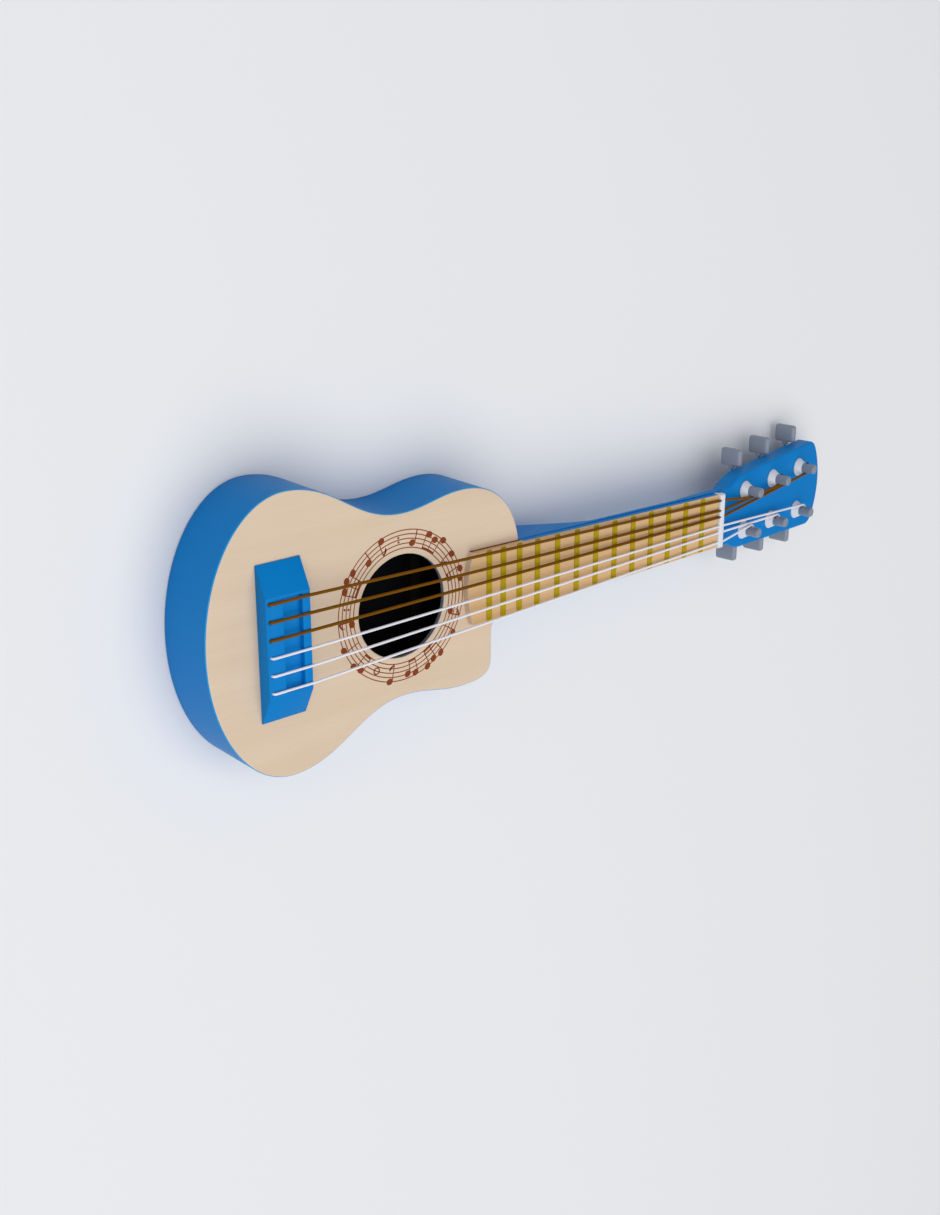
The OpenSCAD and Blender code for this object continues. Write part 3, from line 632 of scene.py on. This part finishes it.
def string_route(s):
    """The route of string s as points from the tail."""
    across = s - 3.5
    y = bridge_pitch * across
    hole_x = bridge_at + string_hole_at
    low = body_d + bridge_h - string_hole_d + string_end_gap
    a = np.radians(np.linspace(0, 90, 9))
    bend = np.column_stack([
        hole_x + string_bend * (1 - np.cos(a)), np.full(len(a), y),
        string_at_bridge - string_bend + string_bend * np.sin(a),
    ])
    straight = np.array([
        [bridge_at + bridge_l, y, string_at_bridge],
        [nut_back, side_of(s) * nut_places[row_of(s)], string_at_nut],
    ])
    rise = string_at_nut - body_d - face_lift
    leave = np.array([-rise * math.sin(head_tilt), nut_places[row_of(s)]])
    post = np.array(post_centre(s)) * [1, side_of(s)]
    wrap_r = post_r + post_gap + string_r
    away = leave - post
    touch = math.atan2(away[1], away[0]) + math.acos(wrap_r / np.linalg.norm(away))
    turn = touch + np.radians(wrap_deg) * np.linspace(0, 1, 25)
    wrap = leaned(np.column_stack([
        post[0] + wrap_r * np.cos(turn),
        side_of(s) * (post[1] + wrap_r * np.sin(turn)),
        np.full(len(turn), string_lift + (string_step if row_of(s) == 0 else 0)),
    ]))
    return np.concatenate([[[hole_x, y, low]], bend, straight, wrap])


def tube(route, radius, sides=12):
    """Rings of a round tube along a route; the sideways direction is carried from ring to ring."""
    along = np.gradient(route, axis=0)
    along /= np.linalg.norm(along, axis=1)[:, None]
    sideways = np.array([0.0, 1.0, 0.0])
    rings = []
    angle = np.linspace(0, 2 * math.pi, sides, endpoint=False)
    for point, ahead in zip(route, along):
        sideways = sideways - ahead * sideways.dot(ahead)
        sideways /= np.linalg.norm(sideways)
        other = np.cross(ahead, sideways)
        rings.append(
            point + radius * (np.outer(np.cos(angle), sideways) + np.outer(np.sin(angle), other))
        )
    return stacked(rings)


string_pieces = {
    s: new_piece(
        f"string_{s}_line", *tube(string_route(s), bass_r if side_of(s) > 0 else treble_r),
        "guitar", [f"string_{s}"], sharp_deg=50,
    )
    for s in strings
}

# %% [markdown]
# Each post comes up through a pale bushing, a cone with a softened rim. A turned part is a profile
# spun round its axis, so its grid has the profile in one direction and the angle in the other.

# %% Bushings
bushing_r, bushing_top_r, bushing_h, sleeve_l, sleeve_r = 7.7, 4.8, 5.6, 7.0, 5.5
bushing_bore_r, bore_chamfer = post_r + 0.08, 0.2
foot_chamfer, foot_steps, rim_r = 0.3, [(0.05, 0.75), (0.35, 1.15)], 0.4  # steps: (inset, height)


def bushing_profile():
    """From the sleeve's foot up the outside, over the rounded rim and down the bore."""
    a = np.radians(np.linspace(20, 80, 5))
    rim = zip(bushing_top_r - rim_r + rim_r * np.cos(a), bushing_h - rim_r + rim_r * np.sin(a))
    return [
        (bushing_bore_r, -sleeve_l), (sleeve_r, -sleeve_l), (sleeve_r, 0.0),
        (bushing_r - foot_chamfer, 0.0), (bushing_r, foot_chamfer),
        *[(bushing_r - inset, height) for inset, height in foot_steps], *rim,
        (bushing_bore_r + bore_chamfer, bushing_h), (bushing_bore_r, bushing_h - bore_chamfer),
    ]


bushing_parts = [turned(post_centre(s), bushing_profile(), sides=56, wrap=True) for s in strings]
bushings = new_piece("bushing_rings", *joined(bushing_parts), "guitar", ["post_bushings"])

# %% [markdown]
# A button is a small slab with full round edges. It is drawn as a flat plate that stands up: its
# outline lies in the plane of the headstock's length and depth, and its rings are stacked outwards.
# The place of its shaft comes from the frame, because the worm and gear behind it decide that.

# %% Buttons
button_l, button_w, button_h, button_corner, button_edge_r = 6.2, 14.6, 18.8, 2.7, 2.3
collar_r, collar_l, collar_edge_r = 2.6, 2.2, 0.3


def rounded_rectangle(length, width, radius, steps=7):
    """A closed anticlockwise outline round the origin."""
    a = np.radians(np.linspace(0, 90, steps))
    arc = radius * np.column_stack([np.cos(a), np.sin(a)])
    corner = np.array([length / 2 - radius, width / 2 - radius])
    first = corner + arc
    second = [-corner[0], corner[1]] + arc[::-1] * [-1, 1]
    return np.concatenate([first, second, -first, -second])


def button_parts(s):
    """Slab and collar of string s's button, in place on the headstock."""
    low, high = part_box(f"button_{s}")
    side = side_of(s)
    shaft_x = (low.x + high.x) / 2 / MM - tail_x
    shaft_z = (low.z + high.z) / 2 / MM
    rim_y = (high.y if side > 0 else low.y) / MM - side * button_w
    cos, sin = math.cos(head_tilt), math.sin(head_tilt)

    def placed(points):
        """Points (along, up, out) turned with the headstock and set on the shaft's axis."""
        along, up, out = points.T
        return np.column_stack([
            shaft_x + along * cos + up * sin, rim_y + side * out, shaft_z - along * sin + up * cos
        ])

    plan = even(rounded_rectangle(button_l, button_h, button_corner), step=2.5)
    collar = collar_r * unit_circle(28)
    parts = []
    for rings in (plate_rings(plan, 0.0, button_w, button_edge_r, button_edge_r, support=1.1),
                  plate_rings(collar, -collar_l, button_edge_r, collar_edge_r, glued_r)):
        points, faces = stacked(rings)
        if side > 0:
            faces = [face[::-1] for face in faces]
        parts.append((placed(points), faces))
    return parts


buttons = [
    new_piece(f"button_{s}_cap", *joined(button_parts(s)), f"tuning_key_{s}", [f"button_{s}"])
    for s in strings
]

# %% [markdown]
# The print round the sound hole is a staff of five circles with notes on it, and the tune is made
# up. It is raised by a few hundredths of a millimetre, as screen-printed ink is, so each mark is a
# thin closed plate. Every mark is first drawn in the staff's own terms: an angle round the hole and
# a distance from it.

# %% Print round the sound hole
staff_radii = np.linspace(41.6, 54.2, 5)
staff_gap = staff_radii[1] - staff_radii[0]
staff_line, stem_line, beam_line = 0.72, 0.8, 1.2
ink_t, ink_sink = 0.05, 0.02
bar_t, flag_t, note_t = ink_t * 1.2, ink_t * 1.3, ink_t * 1.4  # marks that cross differ in height


def ink_plate(flat, height=ink_t):
    """A thin plate whose outline is given round the sound hole."""
    flat = np.asarray(flat)
    after = np.roll(flat, -1, axis=0)
    if (flat[:, 0] * after[:, 1] - flat[:, 1] * after[:, 0]).sum() < 0:
        flat = flat[::-1]
    return stacked([at_height(flat + [hole_at, 0], body_d + z) for z in (-ink_sink, height)])


def polar(radius, degrees):
    """Points at the given distances and angles round the hole."""
    a = np.radians(degrees)
    return np.stack([radius * np.cos(a), radius * np.sin(a)], axis=-1)


def ink_ring(centre, outer, inner, sides):
    """A flat ring of ink between two circles, closed like a very low pipe."""
    section = [(outer, -ink_sink), (outer, ink_t), (inner, ink_t), (inner, -ink_sink)]
    return stacked([
        at_height(centre + unit_circle(sides) * radius + [hole_at, 0], body_d + z)
        for radius, z in section
    ], wrap=True)


def staff_circle(radius):
    """One line of the staff."""
    return ink_ring([0, 0], radius + staff_line / 2, radius - staff_line / 2, sides=180)


def band(r0, r1, a0, a1, steps=10):
    """A piece of a ring between two distances and two angles."""
    a = np.linspace(a0, a1, steps)
    r0, r1 = sorted((r0, r1))
    return ink_plate(np.concatenate([polar(r1, a), polar(r0, a[::-1])]), bar_t)


head_long, head_short, head_lean = 2.75, 2.35, 25


def note_head(radius, degrees, long=head_long, short=head_short):
    """A filled oval, leaning against the staff."""
    oval = unit_circle(28) * [long, short]
    turn = math.radians(degrees + 90 + head_lean)
    cos, sin = math.cos(turn), math.sin(turn)
    spun = oval @ np.array([[cos, sin], [-sin, cos]])
    return ink_plate(spun + polar(radius, degrees), note_t)


def on_staff(step):
    """Distance of a step: even steps are lines, odd ones are spaces, from the hole outwards."""
    return staff_radii[0] + step * staff_gap / 2


def stem_way(step):
    """+1 for a low note, whose stem points outwards, and -1 for a high one."""
    return 1 if step < 4 else -1


stem_gap, stem_side = 0.4, 2.2  # short of the staff's far line, and beside the head's middle


def stem(step, degrees, way):
    """A thin bar from a head's side to the staff's far edge; way is +1 outwards, -1 inwards."""
    radius = on_staff(step)
    end = staff_radii[-1] - stem_gap if way > 0 else staff_radii[0] + stem_gap
    foot = degrees - way * math.degrees(stem_side / radius)
    width = math.degrees(stem_line / radius)
    return band(radius, end, foot - width / 2, foot + width / 2, steps=2), end, foot


flag_start, flag_l, flag_swing, flag_bend = 0.5, 4.0, 5.0, 2.2  # mm, mm, degrees, radians
flag_root, flag_tip = 0.75, 0.2  # half widths: the tip's, and what the root adds to it


def flag(end, foot, way):
    """A hook that falls from a stem's end back towards its head, swinging out by a sine."""
    s = np.linspace(0, 1, 9)
    middle = end - way * (flag_start + flag_l * s)
    angle = foot + way * flag_swing * np.sin(flag_bend * s)
    half = flag_root * (1 - s) + flag_tip
    hook = np.concatenate([polar(middle + half, angle), polar(middle - half, angle)[::-1]])
    return ink_plate(hook, flag_t)


def single_note(degrees, step, hooked=False):
    """A head on a line or in a space, with its stem and, for a short note, a flag."""
    way = stem_way(step)
    bar, end, foot = stem(step, degrees, way)
    marks = [note_head(on_staff(step), degrees), bar]
    return marks + [flag(end, foot, way)] if hooked else marks


beam_pitch, beam_over = 2.3, 0.5  # mm from beam to beam, and degrees past the outer stems


def beamed_notes(degrees, steps, beams=1, spread=7.5):
    """Short notes side by side whose stems are tied by beams at their far ends."""
    way = stem_way(steps[0])
    marks, feet = [], []
    for i, step in enumerate(steps):
        angle = degrees + spread * (i - (len(steps) - 1) / 2)
        bar, end, foot = stem(step, angle, way)
        marks += [note_head(on_staff(step), angle), bar]
        feet.append(foot)
    for beam in range(beams):
        far = end - way * beam_pitch * beam
        marks.append(
            band(far, far - way * beam_line, feet[0] - beam_over, feet[-1] + beam_over)
        )
    return marks


def long_note(degrees, step):
    """A hollow head without a stem."""
    return [ink_ring(polar(on_staff(step), degrees), outer=2.8, inner=1.8, sides=28)]


def repeat_dots(degrees):
    """Two dots on both sides of the staff's middle line."""
    return [note_head(on_staff(step), degrees, 0.85, 0.85) for step in (3, 5)]


melody = [
    *beamed_notes(14, [7, 8], 2), *single_note(33, 7, True), *beamed_notes(55, [8, 6, 7]),
    *single_note(78, 2), *repeat_dots(93), *single_note(109, 7, True), *single_note(127, 3),
    *beamed_notes(149, [7, 8, 7], 2), *repeat_dots(170), *single_note(184, 1, True),
    *single_note(202, 8), *beamed_notes(222, [8, 7]), *long_note(241, 4),
    *single_note(257, 8, True), *beamed_notes(278, [6, 7]), *beamed_notes(301, [8, 7, 8], 2),
    *single_note(326, 8), *single_note(343, 2, True),
]
print_piece = new_piece(
    "sound_hole_print", *joined([staff_circle(r) for r in staff_radii] + melody), "guitar",
    sharp_deg=30,
)

# %% [markdown]
# Paint, wood and plastic share two effects, so each is one node group. The first is grain: noise
# stretched along the strings, once broad for the figure and once fine for the fibres. The second is
# the small unevenness that every finish has: a slow drift of the colour, a drift of the gloss, and
# a fine relief that breaks up the reflections.

# %% Node groups
def new_group(name, inputs, outputs):
    """An empty shader group with the named sockets; inputs are (name, socket type, value)."""
    group = bpy.data.node_groups.new(name, "ShaderNodeTree")
    for socket_name, kind, value in inputs:
        socket = group.interface.new_socket(socket_name, in_out="INPUT", socket_type=kind)
        socket.default_value = value
    for socket_name, kind in outputs:
        group.interface.new_socket(socket_name, in_out="OUTPUT", socket_type=kind)
    return group, group.nodes.new("NodeGroupInput"), group.nodes.new("NodeGroupOutput")


def add(tree, kind, links=(), **values):
    """A node with its properties set and its input sockets linked or given plain values."""
    node = tree.nodes.new(kind)
    for key, value in values.items():
        setattr(node, key, value)
    for socket, source in links:
        if isinstance(source, bpy.types.NodeSocket):
            tree.links.new(source, node.inputs[socket])
        else:
            node.inputs[socket].default_value = source
    return node


def computed(tree, operation, a, b, clamp=False):
    """The result of one Math node on two sockets or plain numbers."""
    node = add(tree, "ShaderNodeMath", [(0, a), (1, b)], operation=operation, use_clamp=clamp)
    return node.outputs[0]


def spread_out(tree, value, low, high):
    """A value between low and high, stretched to go from 0 to 1."""
    links = [("Value", value), ("From Min", low), ("From Max", high)]
    return add(tree, "ShaderNodeMapRange", links).outputs["Result"]


FLOAT, COLOR = "NodeSocketFloat", "NodeSocketColor"


def stretched_noise(tree, stretch, detail, roughness=0.55):
    """Noise on Object coordinates, stretched by a different scale on each axis (per metre)."""
    place = add(tree, "ShaderNodeTexCoord").outputs["Object"]
    mapping = add(tree, "ShaderNodeMapping", [("Vector", place), ("Scale", stretch)])
    return add(tree, "ShaderNodeTexNoise", [
        ("Vector", mapping.outputs["Vector"]), ("Scale", 1.0), ("Detail", detail),
        ("Roughness", roughness),
    ]).outputs["Fac"]


def wood_grain_group():
    """Colour between a light and a dark wood, and a height, from broad and fine stretched noise."""
    group, given, out = new_group(
        "wood grain",
        [("Light", COLOR, (1, 1, 1, 1)), ("Dark", COLOR, (0, 0, 0, 1)), ("Figure", FLOAT, 0.5),
         ("Fibres", FLOAT, 0.5)],
        [("Color", COLOR), ("Height", FLOAT)],
    )
    broad = stretched_noise(group, (3.0, 70.0, 70.0), 3.0)
    fine = stretched_noise(group, (18.0, 900.0, 900.0), 2.0)
    bands = spread_out(group, broad, 0.35, 0.65)
    threads = spread_out(group, fine, 0.3, 0.7)
    figure = computed(group, "MULTIPLY", bands, given.outputs["Figure"])
    fibres = computed(group, "MULTIPLY", threads, given.outputs["Fibres"])
    share = computed(group, "ADD", figure, fibres, clamp=True)
    mix = add(group, "ShaderNodeMix", [
        (0, share), (6, given.outputs["Light"]), (7, given.outputs["Dark"])], data_type="RGBA")
    group.links.new(mix.outputs[2], out.inputs["Color"])
    group.links.new(threads, out.inputs["Height"])
    return group


def finish_group():
    """A colour and a roughness that drift slowly, and a height with the finish's fine relief."""
    group, given, out = new_group(
        "surface finish",
        [("Color", COLOR, (1, 1, 1, 1)), ("Drift", FLOAT, 0.05), ("Roughness", FLOAT, 0.4),
         ("Gloss drift", FLOAT, 0.05)],
        [("Color", COLOR), ("Roughness", FLOAT), ("Height", FLOAT)],
    )
    slow = stretched_noise(group, (22.0, 22.0, 22.0), 3.0)
    relief = stretched_noise(group, (700.0, 700.0, 700.0), 2.0)
    centred = computed(group, "SUBTRACT", slow, 0.5)
    tint = computed(group, "MULTIPLY", centred, given.outputs["Drift"])
    value = computed(group, "ADD", tint, 1.0)
    shaded = add(group, "ShaderNodeHueSaturation", [
        ("Value", value), ("Color", given.outputs["Color"])])
    gloss = computed(group, "MULTIPLY", centred, given.outputs["Gloss drift"])
    rough = computed(group, "ADD", gloss, given.outputs["Roughness"], clamp=True)
    group.links.new(shaded.outputs["Color"], out.inputs["Color"])
    group.links.new(rough, out.inputs["Roughness"])
    group.links.new(relief, out.inputs["Height"])
    return group


grain = wood_grain_group()
finish = finish_group()
print(f"node groups: {grain.name}, {finish.name}")

# %% [markdown]
# Each finish is then a short recipe: its colours as the photograph shows them, how strong the grain
# is, how glossy it is and how deep the relief. Colours are written as screen values and turned into
# the linear ones that Blender computes with.

# %% Materials
def linear(r, g, b):
    """Screen values from 0 to 255 as a linear colour: a straight line near black, then a power."""
    values = [c / 255 for c in (r, g, b)]
    return (*[v / 12.92 if v <= 0.04045 else ((v + 0.055) / 1.055) ** 2.4 for v in values], 1.0)


def new_material(name, base, drift=0.05, roughness=0.4, gloss_drift=0.08, relief_mm=0.01,
                 metallic=0.0, dark=None, figure=0.3, fibres=0.3, specular=0.35):
    """A finish: an even colour, or wood grain where a dark colour is given, under one skin."""
    material = bpy.data.materials.new(name)
    material.use_nodes = True
    tree = material.node_tree
    shader = tree.nodes["Principled BSDF"]
    color = linear(*base)
    skin = add(tree, "ShaderNodeGroup", node_tree=finish)
    skin.inputs["Color"].default_value = color
    skin.inputs["Drift"].default_value = drift
    skin.inputs["Roughness"].default_value = roughness
    skin.inputs["Gloss drift"].default_value = gloss_drift
    height = skin.outputs["Height"]
    if dark:
        wood = add(tree, "ShaderNodeGroup", node_tree=grain)
        wood.inputs["Light"].default_value = color
        wood.inputs["Dark"].default_value = linear(*dark)
        wood.inputs["Figure"].default_value = figure
        wood.inputs["Fibres"].default_value = fibres
        tree.links.new(wood.outputs["Color"], skin.inputs["Color"])
        height = wood.outputs["Height"]
    bump = add(tree, "ShaderNodeBump", [("Height", height), ("Distance", relief_mm * MM)])
    tree.links.new(skin.outputs["Color"], shader.inputs["Base Color"])
    tree.links.new(skin.outputs["Roughness"], shader.inputs["Roughness"])
    tree.links.new(bump.outputs["Normal"], shader.inputs["Normal"])
    shader.inputs["Metallic"].default_value = metallic
    shader.inputs["Specular IOR Level"].default_value = specular
    return material


top_wood = new_material("pale top wood", (229, 207, 183), roughness=0.5, relief_mm=0.006,
                        dark=(218, 193, 165), figure=0.35, fibres=0.3, specular=0.15)
# Near black with faint grain for the frame's parts inside the body, a painted shade.
inner_wood = new_material("inner wood in painted shade", (26, 22, 18), roughness=0.85, relief_mm=0.04,
                          dark=(12, 10, 9), figure=0.6, fibres=0.5, specular=0.1)
board_wood = new_material("fretboard wood", (226, 189, 141), roughness=0.55, relief_mm=0.02,
                          dark=(208, 167, 118), figure=0.25, fibres=0.25, specular=0.15)
# Dark red-brown for the lower half of the fretboard's sides over the body, a painted shade.
board_edge = new_material("painted shade under the fretboard's edge", (120, 44, 38), roughness=0.6, specular=0.2)
blue_paint = new_material("blue lacquer", (0, 128, 206), drift=0.08, roughness=0.42,
                          relief_mm=0.012, specular=0.1)
# The lighter blue for the round of the soundboard's outer edge is a painted highlight; its lower
# roughness and higher specular give a real gloss.
edge_highlight_blue = new_material("blue lacquer with a painted edge highlight", (0, 156, 222), drift=0.08, roughness=0.25,
                         specular=0.4)
# Near black for the inside of the body, a painted shade.
cavity_painted_shade = new_material("painted cavity shade", (8, 10, 14), roughness=0.9, specular=0.1)
hole_wall = new_material("sound hole wall", (128, 128, 142), roughness=0.5, specular=0.2)
ink = new_material("brown ink", (136, 66, 34), roughness=0.6, relief_mm=0.005, specular=0.08)
fret_gold = new_material("olive gold frets", (178, 154, 8), drift=0.1, roughness=0.5, specular=0.1)
bass_string = new_material("bronze string", (120, 76, 2), drift=0.12, roughness=0.5, specular=0.08)
treble_string = new_material("white string", (244, 242, 250), roughness=0.3)
pale_plastic = new_material("pale plastic", (232, 234, 240), roughness=0.34, relief_mm=0.006)
grey_plastic = new_material("grey plastic", (140, 149, 163), roughness=0.36, relief_mm=0.006)
steel = new_material("plated steel", (176, 178, 182), roughness=0.45, metallic=1.0,
                     relief_mm=0.006)
print(f"finishes: {len(bpy.data.materials)} materials")

# %% [markdown]
# The finishes go onto the pieces. The soundboard's face shows the bare wood, and its outer edge
# is painted with the sides, in a lighter blue where it rounds over as a painted highlight. The
# wall of its hole is grey. The cavity behind it is near black, a painted shade. The fretboard's
# sides are painted with the neck. Over the body they carry a dark red-brown painted shade below
# and are bare above, and the rounded end takes the pale top wood as painted light. All these are
# choices by a face's place: its row in the rings, or where it lies and looks.

# %% Assign the finishes
def wear(piece, *materials):
    """Gives a piece its materials, in slot order."""
    piece.data.materials.clear()
    for material in materials:
        piece.data.materials.append(material)


def wear_by_row(piece, last_rows):
    """Gives each row of faces round the body its slot, from (slot, last row with it) pairs."""
    for number, face in enumerate(piece.data.polygons):
        row = number // len(outline)
        face.material_index = next(slot for slot, last in last_rows if row <= last)


def board_slot(face):
    """Slot of a fretboard face: wood 0, paint 1, painted shade 2, pale wood as painted light 3."""
    if abs(face.normal.y) > 0.9:
        if face.center.x > (tail_x + body_l) * MM:
            return 1
        # Over the body the lower half of each side is painted shade.
        return 2 if face.center.z < side_split * MM else 0
    # The end faces the tail and takes the paler top wood as painted light.
    return 3 if face.normal.x < -0.5 else 0


# The round of the soundboard's outer edge takes the lighter blue, a painted highlight.
wear(soundboard, top_wood, blue_paint, edge_highlight_blue, hole_wall, cavity_painted_shade)
# The underside of the soundboard, inside the body, takes near black as painted shade.
wear_by_row(soundboard, [(1, 0), (2, 3), (0, 9), (3, 12), (4, 13)])  # side, round, face, hole, back
# The sides' inner face and, below, the back's inner face take near black as painted shade.
wear(sides, blue_paint, cavity_painted_shade)
wear_by_row(sides, [(0, 1), (1, 2), (0, 3)])  # outside and upper edge, inside, lower edge
wear(back, blue_paint, cavity_painted_shade)
for face in back.data.polygons:
    face.material_index = 1 if face.normal.z > 0.5 else 0
# The fretboard gets painted shade on its lower sides over the body and pale wood as painted light
# on its end.
wear(fretboard, board_wood, blue_paint, board_edge, top_wood)
for face in fretboard.data.polygons:
    face.material_index = board_slot(face)

for piece in (neck_shaft, headstock, bridge):
    wear(piece, blue_paint)
for piece in (bushings, nut):
    wear(piece, pale_plastic)
for piece in buttons:
    wear(piece, grey_plastic)
wear(frets, fret_gold)
wear(print_piece, ink)
for s, piece in string_pieces.items():
    wear(piece, bass_string if side_of(s) > 0 else treble_string)

# The frame's own nodes take the finish that their slot in the record names
# Frame nodes with the inner wood slot sit inside the body and get its near-black painted shade.
slots = {
    "inner_wood": inner_wood, "pale_plastic": pale_plastic, "grey_plastic": grey_plastic,
    "steel": steel, "blue_paint": blue_paint,
}
slot_of = {row["node"]: row["material_slot"] for row in frame["record"]["subparts"]}
for name, node in frame["nodes"].items():
    if slot_of[name] in slots:
        wear(node, slots[slot_of[name]])

# %% [markdown]
# The light is a plain studio. One very large soft lamp hangs high over the tail on the treble side,
# a weak one fills in from the bass side, and a pale sky adds a little from all round. The floor is
# a wide sheet just under the guitar. So weak a sky would show as a grey band behind the floor, so
# the kind of ray chooses its strength: the camera sees it brighter than it shines.

# %% Floor, lights and world
floor_size, floor_drop = 6.0, 0.0002  # metres, as are the lamps' places
bpy.ops.mesh.primitive_plane_add(size=floor_size, location=(0, 0, -floor_drop))
floor = bpy.context.object
floor.name = "floor"
floor_material = bpy.data.materials.new("pale floor")
floor_material.use_nodes = True
floor_shader = floor_material.node_tree.nodes["Principled BSDF"]
floor_shader.inputs["Base Color"].default_value = (0.88, 0.885, 0.9, 1)
floor_shader.inputs["Roughness"].default_value = 0.9
floor.data.materials.append(floor_material)
aim = Vector((0, 0, 0.03))  # the middle of the guitar


def soft_lamp(name, place, size, watts):
    """A square area lamp that points at the middle of the guitar."""
    data = bpy.data.lights.new(name, "AREA")
    data.size = size
    data.energy = watts
    lamp = bpy.data.objects.new(name, data)
    lamp.location = place
    lamp.rotation_euler = (aim - Vector(place)).to_track_quat("-Z", "Y").to_euler()
    bpy.context.scene.collection.objects.link(lamp)


soft_lamp("key", place=(-0.6, -1.0, 4.4), size=7.2, watts=228)
soft_lamp("fill", place=(-1.4, 0.4, 1.4), size=2.0, watts=4)

sky_light, sky_seen = 0.26, 0.8  # strength of the sky as a lamp, and as the camera sees it
world = bpy.data.worlds.new("world")
bpy.context.scene.world = world
world.use_nodes = True
sky = world.node_tree.nodes["Background"]
sky.inputs["Color"].default_value = (0.95, 0.97, 1.0, 1)
ray = add(world.node_tree, "ShaderNodeLightPath").outputs
seen = computed(
    world.node_tree, "ADD", ray["Is Camera Ray"], ray["Is Transmission Ray"], clamp=True
)
strength = add(world.node_tree, "ShaderNodeMapRange", [
    ("Value", seen), ("To Min", sky_light), ("To Max", sky_seen)])
world.node_tree.links.new(strength.outputs["Result"], sky.inputs["Strength"])
bpy.context.scene.view_settings.view_transform = "Standard"
print(f"light: {len(bpy.data.lights)} lamps and the sky")
